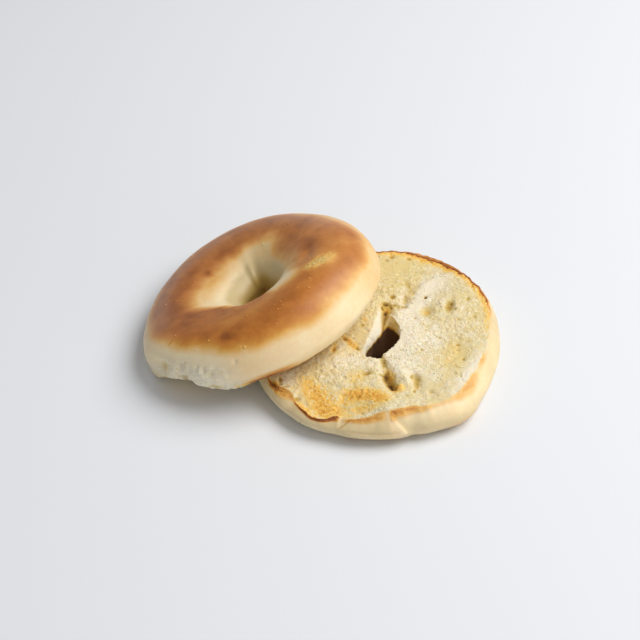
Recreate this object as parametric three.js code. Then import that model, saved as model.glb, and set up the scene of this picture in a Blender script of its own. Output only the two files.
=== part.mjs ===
// A plain bagel, cut through and lightly toasted. The bottom half lies flat with its cut face up.
// The top half lies crust up beside it, with its right side resting on the bottom half's rim.
// Millimetres, +Z up. The origin is on the table, under the middle of the pair.
import * as THREE from 'three';

// ---- Driving sizes -------------------------------------------------------------------------

const SPOKES = 90; // steps round each half
const GAP = 0.3; // lifts the top half, so that it rests on the bottom half without touching it

// Where each half's own centre stands, and how the top half leans: it rises towards LEAN_HEADING.
const BOTTOM_PLACE = [23, -6.9, 0];
const TOP_PLACE = [-23.6, 5.7, 11.2 + GAP];
const LEAN_ANGLE = 17;
const LEAN_HEADING = -15.8;

// Sizes that change round a half are short lists of [degrees, value], joined smoothly.
const BOTTOM = {
  // Widest reach of the wall, with one bulged corner near 310 degrees.
  reach: [[0, 53.6], [20, 55.3], [45, 55.4], [70, 54.5], [90, 52.4], [135, 54], [180, 53.4],
    [205, 54.6], [218, 55.6], [230, 56.9], [245, 57], [262, 56.8], [285, 57.2], [298, 58],
    [310, 58.7], [320, 56], [335, 53.8]],
  widestHeight: 6.8,
  edgeRound: 10, // how far the rounded bottom edge reaches in before the flat underside begins
  // How far the rim of the cut face stands in from the widest reach.
  rimInset: [[0, 5], [20, 4.4], [45, 2.8], [80, 2.6], [120, 4], [160, 5], [190, 4], [217, 2.3],
    [240, 2.3], [252, 4.2], [262, 4.9], [272, 6.2], [298, 5.9], [310, 6.9], [335, 5.6]],
  // Height of that rim. The cut runs thin at the left, where the top half rests on it.
  rimHeight: [[0, 14.2], [40, 15.5], [80, 16.2], [105, 16], [120, 15.3], [133, 13.1], [145, 11.9],
    [160, 11], [180, 11.5], [200, 12.2], [217, 11.4], [232, 9.5], [241, 8.3], [252, 10],
    [262, 12], [274, 14.6], [298, 14.7], [330, 14]],
  holeCentre: [2.5, -4],
  // The hole's mouth in the cut face is a slanted slit that comes to a point at the far side.
  mouth: [[0, 8.6], [24, 8.8], [49, 10.8], [66, 15.5], [80, 19.4], [92, 17.5], [105, 12.2],
    [122, 8], [160, 5.6], [200, 6.4], [225, 10], [239, 14.9], [262, 14.6], [277, 11.6],
    [303, 9.2], [334, 8]],
  mouthHeight: 14.3,
  // Lower down the dough closes in on a smaller throat, and under that on a small round outlet.
  throat: [[0, 7.4], [40, 7.6], [59, 8.3], [76, 10.8], [90, 8.8], [105, 5.8], [122, 4.4],
    [160, 4.2], [200, 5.2], [225, 8.4], [240, 12], [262, 12.4], [290, 9.6], [330, 7.5]],
  throatHeight: 10,
  outletCentre: [1.8, -9.8],
  outletRadius: 5.2,
  outletHeight: 1.6,
  outletFlare: 2.2, // the outlet opens again by this much down to the underside
};

const TOP = {
  reach: [[0, 53.5], [30, 54.5], [60, 54.8], [90, 57.6], [120, 56], [150, 52.3], [180, 52.3],
    [195, 53.9], [205, 55], [215, 54.4], [240, 51.4], [270, 49.2], [300, 48], [330, 49.6]],
  widestHeight: 8.6,
  // Rim of the cut face: how far in it stands, and how high it lies over the level of the cut.
  rimInset: [[0, 5.2], [45, 4], [90, 3.4], [120, 4], [150, 5.2], [172, 5.4], [184, 4], [194, 1.8],
    [204, 0.5], [216, 1.6], [222, 3.3], [228, 3.6], [233, 4.8], [270, 4.8], [300, 5.2], [330, 5]],
  // A bite of crumb is torn out of it between 205 and 230 degrees.
  rimRise: [[0, 0.3], [60, 0], [120, 0.5], [150, 2.1], [180, 2.5], [194, 1.7], [204, 0.9],
    [210, 2.2], [216, 4.2], [222, 5.2], [227, 5.5], [230, 1.2], [232, 0], [240, -0.2],
    [248, -0.9], [257, -0.6], [265, 0.8], [300, 1], [330, 0.1]],
  crownHeight: 22.9,
  crownLean: [4.2, -1.9], // extra crown height towards 0 and 90 degrees
  crownRadius: 34.6,
  crownShift: [-2.6, 1.4], // extra crown radius towards 0 and 90 degrees
  shoulder: 0.91, // powers that shape the arc from the widest reach to the crown
  crownPower: 1.04,
  holeCentre: [0.6, 1.5],
  throat: [[0, 8.4], [60, 9.4], [95, 11.2], [130, 9], [180, 8], [250, 7.4], [310, 7.6]],
  throatHeight: 6.5,
  mouthFlare: 1.8, // the hole opens again by this much down to the cut face
};

// Pits and dents in the cut faces: place x, y, half length, half width, turn in degrees, depth.
const BOTTOM_PITS = [
  [6.8, -33.2, 7.6, 3.2, -78, 4.2],
  [14.4, -32.4, 6, 2.7, -80, 3],
  [5.9, 16.8, 3.2, 2.6, 60, 3.2],
  [-4.6, -26, 3, 2.2, 20, 1.5],
  [25, 11.2, 3.2, 2.4, 10, 1.8],
  [30.5, 15.6, 2.6, 2.2, 60, 1.6],
  [13.8, 19.6, 4, 1.8, 80, 1.7],
  [-6.4, -10.4, 3.6, 2, 60, 1.4],
  [9.3, 50, 2.4, 1.8, 0, 1.3],
  [34, -18, 5, 4, 30, 1],
  [-26, 24, 5, 3, 40, 1.6],
  [-30, -8, 4, 3, 10, 1.4],
];
const TOP_PITS = [
  [20, -28, 6, 3, 30, 2.4],
  [-24, 22, 5, 3.4, -40, 2.2],
  [33, 14, 4, 3, 60, 2],
  [-8, 36, 4.4, 2.6, 10, 1.8],
  [-34, -12, 5, 3, 80, 2],
  [6, -38, 3.6, 2.4, 0, 1.6],
  [26, -4, 3.4, 2.6, -30, 1.4],
];

// Low swells that make a torn cut face uneven: each runs along one axis and wanders with the other.
const SWELLS = [
  { along: 'x', across: 'y', height: 0.45, length: 5.1, wander: 1.3, wanderLength: 7.7 },
  { along: 'y', across: 'x', height: 0.35, length: 4.3, wander: 1.7, wanderLength: 8.9 },
];
const SWELL_LIFT = 0.5; // keeps the swells of the top half's face above the level of the cut

// A step runs over the bottom half's cut face from the hole's point to the far right rim. The face
// lies lower on its upper left side, most of all at dropCentre from the step.
const STEP = {
  from: [15.4, 16.9],
  to: [37.9, 36.3],
  bow: 4,
  drop: 1.1,
  softness: 2.6,
  dropCentre: 4,
  dropWidth: 16,
  endFade: 0.5,
};

// Soft folds in the skin: place round the half and half width, both in degrees, then depth in mm.
const BOTTOM_WALL_FOLDS = [[284, 3.4, 1], [250, 4, 0.6], [303, 5, -0.5], [228, 5, 0.5]];
const FUNNEL_FOLDS = [[98, 8, 1.8], [112, 9, -1.1], [62, 14, 0.7], [215, 16, -0.8]];
const TOP_WALL_DENT = { angle: 213, halfWidth: 6, height: 6, halfHeight: 2.4, depth: 1.4 };
const SCAR = { angle: 0, halfWidth: 13, inward: 5, halfReach: 3, depth: 1 };

// How each section is divided. The shares say how far along its stretch each point stands.
const BOTTOM_FACE_POINTS = 14;
const TOP_FACE_POINTS = 10;
const SKIN_POINTS = 9;
const FUNNEL_POINTS = 8;
const UNDERSIDE_SHARES = [0, 0.5, 1];
const LOWER_EDGE_SHARES = [0.28, 0.52, 0.76, 1];
const UPPER_EDGE_SHARES = [0.3, 0.6, 0.85];
const TOP_WALL_SHARES = [0.25, 0.5, 0.75];
const LIP = { inward: 0.55, down: 0.4 }; // one point between the mouth and the throat
const LOWER_WALL = [{ inward: 0.42, height: 0.62 }, { inward: 0.85, height: 0.3 }];
const RIM_BLEND = 0.7; // share of the way in by which the bottom half's face has levelled out
const RISE_START = 0.8; // share of the way out from which the top half's rim rises
const SWELL_FADE = [0.08, 0.06]; // how much the swells die down at the rims, bottom and top half

// ---- Small helpers -------------------------------------------------------------------------

const DEG = Math.PI / 180;
const mix = THREE.MathUtils.lerp;
const bump = (offset, halfWidth) => Math.exp(-((offset / halfWidth) ** 2));
const arch = (t) => Math.sqrt(Math.sin(Math.PI * t)); // rises from 0 to 1 and falls back to 0
const turnBetween = (a, b) => THREE.MathUtils.euclideanModulo(a - b + 180, 360) - 180;
const spoke = (degrees, length) => new THREE.Vector2(
  length * Math.cos(degrees * DEG), length * Math.sin(degrees * DEG));
const pair = ([x, y]) => new THREE.Vector2(x, y);
const point = (place, height) => new THREE.Vector3(place.x, place.y, height);

// Smooth value at an angle from a list of [degrees, value] that closes on itself.
function around(list, degrees) {
  const angle = THREE.MathUtils.euclideanModulo(degrees, 360);
  const count = list.length;
  const at = (i) => {
    const turns = Math.floor(i / count);
    const [knot, value] = list[i - turns * count];
    return [knot + 360 * turns, value];
  };
  let i = count - 1;
  while (i >= 0 && at(i)[0] > angle) i -= 1;
  const [[a0, v0], [a1, v1], [a2, v2], [a3, v3]] = [at(i - 1), at(i), at(i + 1), at(i + 2)];
  const t = (angle - a1) / (a2 - a1);
  const slope1 = ((v2 - v0) / (a2 - a0)) * (a2 - a1);
  const slope2 = ((v3 - v1) / (a3 - a1)) * (a2 - a1);
  return (2 * t ** 3 - 3 * t ** 2 + 1) * v1 + (t ** 3 - 2 * t ** 2 + t) * slope1
    + (3 * t ** 2 - 2 * t ** 3) * v2 + (t ** 3 - t ** 2) * slope2;
}

// Depth of all pits of a list at a place on a cut face.
function pitDepth(pits, place) {
  return pits.reduce((depth, [x, y, halfLength, halfWidth, turn, deep]) => {
    const offset = new THREE.Vector2(place.x - x, place.y - y);
    offset.rotateAround(new THREE.Vector2(), -turn * DEG);
    return depth + deep * bump(Math.hypot(offset.x / halfLength, offset.y / halfWidth), 1);
  }, 0);
}

function crumbSwell(place) {
  return SWELLS.reduce((height, wave) => {
    const wander = wave.wander * Math.sin(place[wave.across] / wave.wanderLength);
    return height + wave.height * Math.sin(place[wave.along] / wave.length + wander);
  }, 0);
}

const foldDepth = (folds, degrees) => folds.reduce(
  (depth, [at, halfWidth, deep]) => depth + deep * bump(turnBetween(degrees, at), halfWidth), 0);

// A closed ring-shaped skin: section(degrees) gives one closed loop of points, always as many.
function ringGeometry(section) {
  const loops = Array.from({ length: SPOKES }, (_, i) => section((i * 360) / SPOKES));
  const size = loops[0].length;
  const positions = loops.flat().flatMap((p) => [p.x, p.y, p.z]);
  const index = [];
  for (let i = 0; i < SPOKES; i += 1) {
    for (let j = 0; j < size; j += 1) {
      const a = i * size + j;
      const b = i * size + ((j + 1) % size);
      const c = ((i + 1) % SPOKES) * size + j;
      const d = ((i + 1) % SPOKES) * size + ((j + 1) % size);
      index.push(a, c, b, b, c, d);
    }
  }
  const geometry = new THREE.BufferGeometry();
  geometry.setAttribute('position', new THREE.Float32BufferAttribute(positions, 3));
  geometry.setIndex(index);
  geometry.computeVertexNormals();
  return geometry;
}

// ---- Bottom half ---------------------------------------------------------------------------

function stepDrop(place) {
  const from = pair(STEP.from);
  const along = pair(STEP.to).sub(from);
  const length = along.length();
  along.normalize();
  const offset = place.clone().sub(from);
  const t = offset.dot(along) / length;
  const bow = STEP.bow * Math.sin(Math.PI * THREE.MathUtils.clamp(t, 0, 1));
  const side = along.cross(offset) - bow;
  const beyondEnds = Math.max(0, t - 1) + Math.max(0, -t);
  const lower = (1 + Math.tanh(side / STEP.softness)) / 2;
  return STEP.drop * bump(beyondEnds, STEP.endFade) * lower
    * bump(side - STEP.dropCentre, STEP.dropWidth);
}

// One loop: over the cut face to the hole, down it, out along the underside and up the wall.
function bottomSection(degrees) {
  const reach = around(BOTTOM.reach, degrees) - foldDepth(BOTTOM_WALL_FOLDS, degrees);
  const widest = spoke(degrees, reach);
  const rim = spoke(degrees, reach - around(BOTTOM.rimInset, degrees));
  const rimHeight = around(BOTTOM.rimHeight, degrees);
  const hole = pair(BOTTOM.holeCentre);
  const mouth = hole.clone().add(spoke(degrees, around(BOTTOM.mouth, degrees)));
  const throat = hole.clone().add(spoke(degrees, around(BOTTOM.throat, degrees)));
  const outlet = pair(BOTTOM.outletCentre).add(spoke(degrees, BOTTOM.outletRadius));
  const outletEdge = outlet.clone().add(spoke(degrees, BOTTOM.outletFlare));
  const flatEdge = spoke(degrees, reach - BOTTOM.edgeRound);

  const face = Array.from({ length: BOTTOM_FACE_POINTS }, (_, i) => {
    const t = i / (BOTTOM_FACE_POINTS - 1);
    const place = rim.clone().lerp(mouth, t);
    const level = mix(rimHeight, BOTTOM.mouthHeight, THREE.MathUtils.smoothstep(t, 0, RIM_BLEND));
    const swell = arch(mix(SWELL_FADE[0], 1, t)) * crumbSwell(place);
    return point(place, level + swell - stepDrop(place) - pitDepth(BOTTOM_PITS, place));
  });
  const mouthHeight = face[BOTTOM_FACE_POINTS - 1].z;
  const upperWall = [
    point(mouth.clone().lerp(throat, LIP.inward), mix(mouthHeight, BOTTOM.throatHeight, LIP.down)),
    point(throat, BOTTOM.throatHeight),
  ];
  const lowerWall = LOWER_WALL.map(({ inward, height }) => point(
    throat.clone().lerp(outlet, inward), BOTTOM.throatHeight * height));
  const underside = UNDERSIDE_SHARES.map((t) => point(outletEdge.clone().lerp(flatEdge, t), 0));
  const lowerEdge = LOWER_EDGE_SHARES.map((t) => {
    const angle = t * 90 * DEG;
    const out = reach - BOTTOM.edgeRound * (1 - Math.sin(angle));
    return point(spoke(degrees, out), BOTTOM.widestHeight * (1 - Math.cos(angle)));
  });
  const upperEdge = UPPER_EDGE_SHARES.map((t) => {
    const inset = 1 - Math.cos(t * 90 * DEG);
    return point(widest.clone().lerp(rim, inset), mix(BOTTOM.widestHeight, rimHeight, t));
  });
  return [...face, ...upperWall, ...lowerWall, point(outlet, BOTTOM.outletHeight),
    ...underside, ...lowerEdge, ...upperEdge];
}

// ---- Top half ------------------------------------------------------------------------------

// One loop: out along the cut face, up the wall and over the crown, then down into the hole.
function topSection(degrees) {
  const reach = around(TOP.reach, degrees);
  const rimInset = around(TOP.rimInset, degrees);
  const rimRise = around(TOP.rimRise, degrees);
  const rim = spoke(degrees, reach - rimInset);
  const heading = spoke(degrees, 1);
  const crownRadius = TOP.crownRadius + pair(TOP.crownShift).dot(heading);
  const crownHeight = TOP.crownHeight + pair(TOP.crownLean).dot(heading);
  const crown = spoke(degrees, crownRadius);
  const throatReach = around(TOP.throat, degrees);
  const throat = pair(TOP.holeCentre).add(spoke(degrees, throatReach));
  const mouth = pair(TOP.holeCentre).add(spoke(degrees, throatReach + TOP.mouthFlare));

  const face = Array.from({ length: TOP_FACE_POINTS }, (_, i) => {
    const t = i / (TOP_FACE_POINTS - 1);
    const place = mouth.clone().lerp(rim, t);
    const rise = rimRise * THREE.MathUtils.smoothstep(t, RISE_START, 1);
    const swell = arch(mix(SWELL_FADE[1], 1 - SWELL_FADE[1], t)) * (SWELL_LIFT + crumbSwell(place));
    return point(place, rise + swell + pitDepth(TOP_PITS, place));
  });
  const rimHeight = face[TOP_FACE_POINTS - 1].z;
  const dent = TOP_WALL_DENT.depth
    * bump(turnBetween(degrees, TOP_WALL_DENT.angle), TOP_WALL_DENT.halfWidth);
  const lowerWall = TOP_WALL_SHARES.map((t) => {
    const height = mix(rimHeight, TOP.widestHeight, t);
    const dented = dent * bump(height - TOP_WALL_DENT.height, TOP_WALL_DENT.halfHeight);
    return point(spoke(degrees, reach - rimInset * (1 - t) ** 2 - dented), height);
  });
  const outerSkin = Array.from({ length: SKIN_POINTS }, (_, i) => {
    const angle = (i / SKIN_POINTS) * 90 * DEG;
    const out = mix(crownRadius, reach, Math.cos(angle) ** TOP.shoulder);
    const height = mix(TOP.widestHeight, crownHeight, Math.sin(angle) ** TOP.crownPower);
    return point(spoke(degrees, out), height);
  });
  const funnel = Array.from({ length: FUNNEL_POINTS }, (_, i) => {
    const angle = (i / FUNNEL_POINTS) * 90 * DEG;
    const place = throat.clone().lerp(crown, 1 - Math.sin(angle));
    const fold = foldDepth(FUNNEL_FOLDS, degrees) * Math.sin(angle) ** 3;
    const scar = SCAR.depth * bump(turnBetween(degrees, SCAR.angle), SCAR.halfWidth)
      * bump(crownRadius - place.length() - SCAR.inward, SCAR.halfReach);
    const height = mix(TOP.throatHeight, crownHeight, Math.cos(angle));
    return point(place, height - fold - scar);
  });
  return [...face, ...lowerWall, ...outerSkin, ...funnel, point(throat, TOP.throatHeight)];
}

// ---- The two halves ------------------------------------------------------------------------

const crumb = new THREE.MeshStandardMaterial({ color: '#e2d2a4', roughness: 0.85, metalness: 0 });
const crust = new THREE.MeshStandardMaterial({ color: '#b27a42', roughness: 0.5, metalness: 0 });

const bottomHalf = new THREE.Mesh(ringGeometry(bottomSection), crumb);
bottomHalf.name = 'bottom_half';
bottomHalf.position.set(...BOTTOM_PLACE);

const topHalf = new THREE.Mesh(ringGeometry(topSection), crust);
topHalf.name = 'top_half';
topHalf.position.set(...TOP_PLACE);
const rising = spoke(LEAN_HEADING, 1);
const hingeLine = new THREE.Vector3(rising.y, -rising.x, 0);
topHalf.quaternion.setFromAxisAngle(hingeLine, LEAN_ANGLE * DEG);

const bagel = new THREE.Group();
bagel.add(bottomHalf, topHalf);

export default bagel;
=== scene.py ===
"""A plain bagel, cut through and lightly toasted.

The bottom half lies with its cut face up, and the crusty top half leans on its rim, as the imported
solids do. This script makes the bread in their place: torn crumb with its pores and toasted
patches, baked crust with its blisters, and loose crumbs.
"""

import math

import bpy
import numpy as np
from mathutils import Matrix, Vector


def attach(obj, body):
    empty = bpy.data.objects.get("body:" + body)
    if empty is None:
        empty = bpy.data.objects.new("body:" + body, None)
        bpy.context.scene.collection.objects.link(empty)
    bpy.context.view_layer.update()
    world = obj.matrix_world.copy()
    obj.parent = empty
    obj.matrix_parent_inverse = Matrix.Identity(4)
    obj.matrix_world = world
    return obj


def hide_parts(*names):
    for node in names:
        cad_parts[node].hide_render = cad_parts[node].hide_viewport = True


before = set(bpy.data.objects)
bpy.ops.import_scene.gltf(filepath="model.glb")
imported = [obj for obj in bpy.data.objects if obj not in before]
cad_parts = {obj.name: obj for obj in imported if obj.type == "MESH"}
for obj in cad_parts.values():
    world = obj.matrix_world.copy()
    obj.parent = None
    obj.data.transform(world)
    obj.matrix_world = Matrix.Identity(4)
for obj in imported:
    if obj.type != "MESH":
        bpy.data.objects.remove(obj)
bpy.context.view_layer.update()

bl_info = {
    "name": "Toasted bagel",
    "version": (1, 0, 0),
    "blender": (4, 5, 0),
    "location": "View3D > Sidebar > Bagel",
    "description": "Makes both halves of a toasted bagel, their crumbs and a plain stage",
    "category": "Mesh",
}

# ---- Sizes of the halves -------------------------------------------------------------------
# All in millimetres and degrees, which run anticlockwise from +X. What changes round a half is a
# short list of (degrees, value).

MM = 0.001

BOTTOM_PLACE = (23, -6.9, 0)
TOP_PLACE = (-23.6, 5.7, 11.5)
LEAN_ANGLE = 17
LEAN_HEADING = -15.8

BOTTOM_REACH = ((0, 53.6), (20, 55.3), (45, 55.4), (70, 54.5), (90, 52.4), (135, 54), (180, 53.4),
                (205, 54.6), (218, 55.6), (230, 56.9), (245, 57), (262, 56.8), (285, 57.2),
                (298, 58), (310, 58.7), (320, 56), (335, 53.8))
BOTTOM_WIDEST_HEIGHT = 6.8
BOTTOM_EDGE_ROUND = 10
BOTTOM_RIM_INSET = ((0, 4.6), (20, 3.2), (45, 2.6), (80, 2.6), (120, 4), (160, 5), (190, 4),
                    (205, 2.6), (213, 2.2), (218, 3.6), (222, 5.6), (226, 5), (230, 3.5),
                    (235, 2.6), (241, 1.9), (245, 2.5), (248, 4.4), (252, 4.4), (262, 4.9),
                    (272, 6.2), (298, 5.9), (310, 6.9), (335, 5.6))
BOTTOM_RIM_HEIGHT = ((0, 14.2), (40, 15.5), (80, 16.2), (105, 16), (120, 15.3), (133, 13.1),
                     (145, 11.9), (160, 11), (180, 11.5), (200, 12.2), (217, 11.4), (232, 9.5),
                     (241, 8.3), (252, 10), (262, 12), (274, 14.6), (298, 14.7), (330, 14))
BOTTOM_HOLE = (2.5, -4)
MOUTH = ((0, 8), (24, 8.7), (52, 10.7), (65, 12.3), (74, 13.8), (82, 15.4), (89, 16.6),
         (96, 13.2), (105, 9.6), (115, 7.3), (135, 5.6), (163, 4.9), (190, 5.9), (216, 8.6),
         (230, 12.4), (239, 14.8), (252, 14.9), (262, 14.6), (277, 11.6), (290, 9.7), (308, 8.5),
         (336, 8.1))
MOUTH_HEIGHT = 14.3
THROAT = ((0, 7.4), (11, 7.5), (32, 7.6), (51, 8.6), (65, 9.4), (72, 9.4), (79, 6.5), (88, 4.6),
          (100, 3.5), (130, 2.7), (169, 2.5), (195, 3.7), (215, 5.7), (225, 9.3), (238, 13),
          (255, 13.4), (275, 11), (290, 9.4), (308, 8), (335, 7.5))
THROAT_HEIGHT = 10
OUTLET_CENTRE = (1.8, -9.8)
OUTLET_RADIUS = 5.2
OUTLET_HEIGHT = 1.6
OUTLET_FLARE = 2.2
LIP = (0.55, 0.4)
LOWER_WALL = ((0.42, 0.62), (0.85, 0.3))

TOP_REACH = ((0, 53.5), (30, 54.5), (60, 54.8), (90, 57.6), (120, 56), (150, 52.3), (180, 52.3),
             (195, 53.9), (205, 55), (215, 54.4), (240, 51.4), (270, 49.2), (300, 48), (330, 49.6))
TOP_WIDEST_HEIGHT = 8.6
TOP_RIM_INSET = ((0, 5.2), (45, 4), (90, 3.4), (120, 4), (150, 5.2), (172, 5.4), (184, 4),
                 (194, 1.8), (204, 0.5), (216, 1.6), (222, 3.3), (228, 3.6), (233, 4.8),
                 (270, 4.8), (300, 5.2), (330, 5))
TOP_RIM_RISE = ((0, 0.3), (60, 0), (120, 0.5), (150, 2.1), (180, 2.5), (194, 1.7), (204, 0.9),
                (210, 2.2), (216, 4.2), (222, 5.4), (227, 6.4), (231, 7.6), (234.4, 7.8),
                (236, 6.6), (237.2, 0.8), (239, 0.1), (242, -0.3), (248, -0.9), (257, -0.6),
                (265, 0.8), (300, 1), (330, 0.1))
RAGGED_EDGE = 0.8
CROWN_HEIGHT = 22.9
CROWN_LEAN = (4.2, -1.9)
CROWN_RADIUS = 34.6
CROWN_SHIFT = (-2.6, 1.4)
SHOULDER = 0.91
CROWN_POWER = 1.04
TOP_HOLE = (0.6, 1.5)
TOP_THROAT = ((0, 8.4), (60, 9.4), (95, 11.2), (130, 9), (180, 8), (250, 7.4), (310, 7.6))
TOP_THROAT_HEIGHT = 6.5
TOP_MOUTH_FLARE = 1.8

# Pits: x, y, half length, half width, turn, depth, and the painted shade at the bottom of the pit.
BOTTOM_PITS = (
    (4.2, -31.6, 6.4, 2.4, -78, 3, 0.58),
    (5.4, -34.4, 3.4, 1.6, -62, 1.4, 0.85),
    (3, -29, 3, 1.6, 80, 0.8, 0.5),
    (15.4, -34, 4.8, 1.8, -82, 1.8, 0.34),
    (16, -30.5, 3, 1.4, -60, 0.8, 0.4),
    (5.5, 14, 4.4, 2.2, 88, 2.6, 0.52),
    (2.5, -20.6, 4.2, 1.7, 100, 1.3, 0.6),
    (-4.4, -27, 2.6, 1.5, 10, 0.9, 0.6),
    (22.8, 10.6, 3.6, 2.4, 95, 1.1, 0.2),
    (32.6, 12.6, 4.2, 2, 82, 1.6, 0.6),
    (13.8, 19.6, 4, 1.8, 80, 1, 0.3),
    (-10.8, -8.8, 6.4, 2.4, -56, 0.8, 0.25),
    (9.3, 46, 1.6, 1.1, 0, 1, 0.5),
    (34, -18, 5, 4, 30, 0.6, 0.05),
    (-26, 24, 5, 3, 40, 1.6, 0.4),
    (-30, -8, 4, 3, 10, 1.4, 0.4),
)
SMALL_PITS = (
    (22.8, 19.9, 0.8, 0.7, 90, 1.4, 2.2),
    (5.2, 17.8, 1.8, 0.9, 0, 0.5, 0.9),
    (3.8, 15.2, 1.8, 0.7, 80, 0.4, 0.7),
    (7.6, 15.4, 1.8, 0.6, 100, 0.4, 0.6),
    (4.8, 11.6, 2, 1.1, 88, 0.5, 1),
    (15.6, 28, 7, 1.6, -73, 0.4, 0.25),
    (3.2, -27.4, 1.6, 0.8, 80, 0.6, 0.5),
    (6.4, -36.6, 1.4, 0.8, -40, 0.6, 0.7),
    (13.6, -30, 1.4, 0.7, 80, 0.5, 0.5),
    (14.4, -38.4, 1.4, 0.7, 90, 0.5, 0.5),
    (33.6, 14.6, 1.2, 0.7, 60, 0.5, 0.5),
    (9.2, 16.6, 1.2, 1, 0, 0.6, 0.6),
    (10.8, 15.8, 0.9, 0.8, 30, 0.5, 0.5),
    (12.6, 15.6, 1.1, 0.9, -20, 0.6, 0.6),
    (14, 14.4, 0.9, 0.8, 0, 0.5, 0.5),
    (11, 14.2, 3.4, 1.2, -20, 0.3, 0.25),
    (8.5, 21.8, 1.3, 0.9, 0, 0.8, 0.6),
    (17, 45, 1.2, 0.9, 0, 0.9, 0.6),
    (7, 44, 1.2, 0.9, 0, 0.7, 0.4),
    (17.4, 6.2, 1, 0.6, -30, 0.5, 0.5),
    (-13.4, -5.6, 1.4, 0.8, -50, 0.7, 0.5),
    (-8.2, -12, 1.4, 0.8, -50, 0.7, 0.5),
    (-18, -13, 2, 0.9, 70, 0.8, 0.5),
    (1, -28, 1.2, 0.8, 0, 0.7, 0.4),
    (-43.6, -29.6, 2.4, 1, -68, 1.6, 1.2),
    (-40.8, -27.2, 2.4, 0.7, 95, 0.9, 0.9),
    (-38.6, -31.4, 1.6, 0.6, 20, 0.6, 0.5),
    (34.4, -11.4, 1.3, 0.9, -40, 0.6, 0.5),
    (36, -20, 1.2, 0.8, 60, 0.6, 0.5),
    (36, 4, 1.2, 0.8, 0, 0.6, 0.4),
    (27, -6, 1.1, 0.8, 0, 0.6, 0.35),
    (19, -14, 1.3, 0.8, 40, 0.6, 0.4),
    (41, 17, 1.6, 0.8, 70, 0.7, 0.5),
    (43, 6, 1.2, 0.8, 0, 0.6, 0.4),
)
# Small ridges that stand up out of the cut face: x, y, half length, half width, turn, height.
RIDGES = (
    (7.9, -37, 1.6, 1.4, 0, 1.7),
    (10.8, -31.4, 4.8, 1.3, -66, 0.8),
    (2.9, -17, 1.2, 0.9, 0, 1),
    (-1.6, -19.6, 1.3, 0.8, 0, 0.5),
    (9.6, 9, 3.6, 1, -66, 0.4),
    (1.4, 12, 4.6, 1, 74, 0.4),
    (20, 25.5, 9, 1.8, 42, 0.5),
    (-39.6, -31.8, 3.4, 1, -25, 0.9),
    (5.9, 13.4, 0.9, 0.8, 0, 1.1),
    (16, -36.6, 1.1, 0.9, 0, 0.7),
)
TOP_PITS = (
    (20, -28, 6, 3, 30, 2.4, 0.5),
    (-24, 22, 5, 3.4, -40, 2.2, 0.5),
    (33, 14, 4, 3, 60, 2, 0.4),
    (-8, 36, 4.4, 2.6, 10, 1.8, 0.4),
    (-34, -12, 5, 3, 80, 2, 0.4),
    (6, -38, 3.6, 2.4, 0, 1.6, 0.4),
    (26, -4, 3.4, 2.6, -30, 1.4, 0.3),
)
# Low swells of a torn cut face: axis, height, length, wander and its length. They follow an
# arch across a face, and each half starts that share of the way into it. The top half's are
# lifted too.
SWELLS = ((0, 0.45, 5.1, 1.3, 7.7), (1, 0.35, 4.3, 1.7, 8.9))
SWELL_START = (0.08, 0.06)
SWELL_LIFT = 0.5
# The step across the bottom half's cut face: its two ends and its bow, how far and how softly
# it drops, and where its low side lies and how far that reaches.
STEP_FROM = (15.4, 16.9)
STEP_TO = (37.9, 36.3)
STEP_BOW = 4
STEP_DROP = 1.3
STEP_SOFTNESS = 1.5
STEP_CENTRE = 4
STEP_WIDTH = 16
STEP_END_FADE = 0.5
# Shares of the way over a face: where the bottom half's has left the height of its rim, and
# where the top half's starts to rise to its own.
RIM_BLEND = 0.7
RISE_START = 0.8

# Folds in the skin: degrees, half width in degrees, depth.
WALL_FOLDS = ((284, 3.4, 1), (250, 4, 0.6), (303, 5, -0.5), (228, 5, 0.5))
FUNNEL_FOLDS = ((93, 7, 0.75), (102, 4.5, -0.7), (110, 5, 0.4), (62, 14, 0.7), (215, 16, -0.8))
# A dent: degrees, half width, height or distance in from the crown, its half width, depth.
WALL_DENT = (213, 6, 6, 2.4, 1.4)
SCAR_DENT = (0, 13, 5, 3, 1)

# ---- Sizes that only the bread has ---------------------------------------------------------

# How fine the meshes are: spokes round each half, and loops in each stretch of its section.
BOTTOM_SPOKES = 560
TOP_SPOKES = 520
FACE_LOOPS = 104
HOLE_LOOPS = 28
UNDERSIDE_LOOPS = 6
LOWER_EDGE_LOOPS = 12
UPPER_EDGE_LOOPS = 18
TOP_FACE_LOOPS = 46
TOP_WALL_LOOPS = 18
SKIN_LOOPS = 64
FUNNEL_LOOPS = 46
MOUTH_LOOPS = 6
# Where each half's relief is drawn from.
BOTTOM_SEED = 0.0
TOP_SEED = 0.31

# The deep crease in the front wall: (height, degrees) along it, depth, degrees over which it
# fades and begins, and the width of the wedge of painted highlight beside it low down and at
# the rim.
CREASE_LINE = ((14.6, 273.4), (13.1, 275.3), (11.3, 277.1), (9.5, 279), (7.7, 280.4), (4, 283))
CREASE_DEPTH = 1.2
CREASE_FADE = 5
CREASE_SHARPNESS = 0.35
CREASE_WEDGE = (6, 1.5)
SMALL_CREASE_LINE = ((11.4, 256.6), (9.4, 254.4), (7.3, 251.1), (5, 249))
SMALL_CREASE_DEPTH = 0.7
# The fine seam: degrees, half length, height, half height, depth.
SEAM = (266, 12, 7.6, 0.5, 0.35)

# The rim's burnt curl at the front left: it lifts and leans out over the wall.
CURL_START = 226
CURL_FULL = 245.5
CURL_END = 251.5
CURL_LIFT = 0.9
CURL_LEAN = 0.4
# How far from the rim the face still follows the rim's own lift.
EDGE_REACH = 1.6

# ---- Paint lists ---------------------------------------------------------------------------

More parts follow.
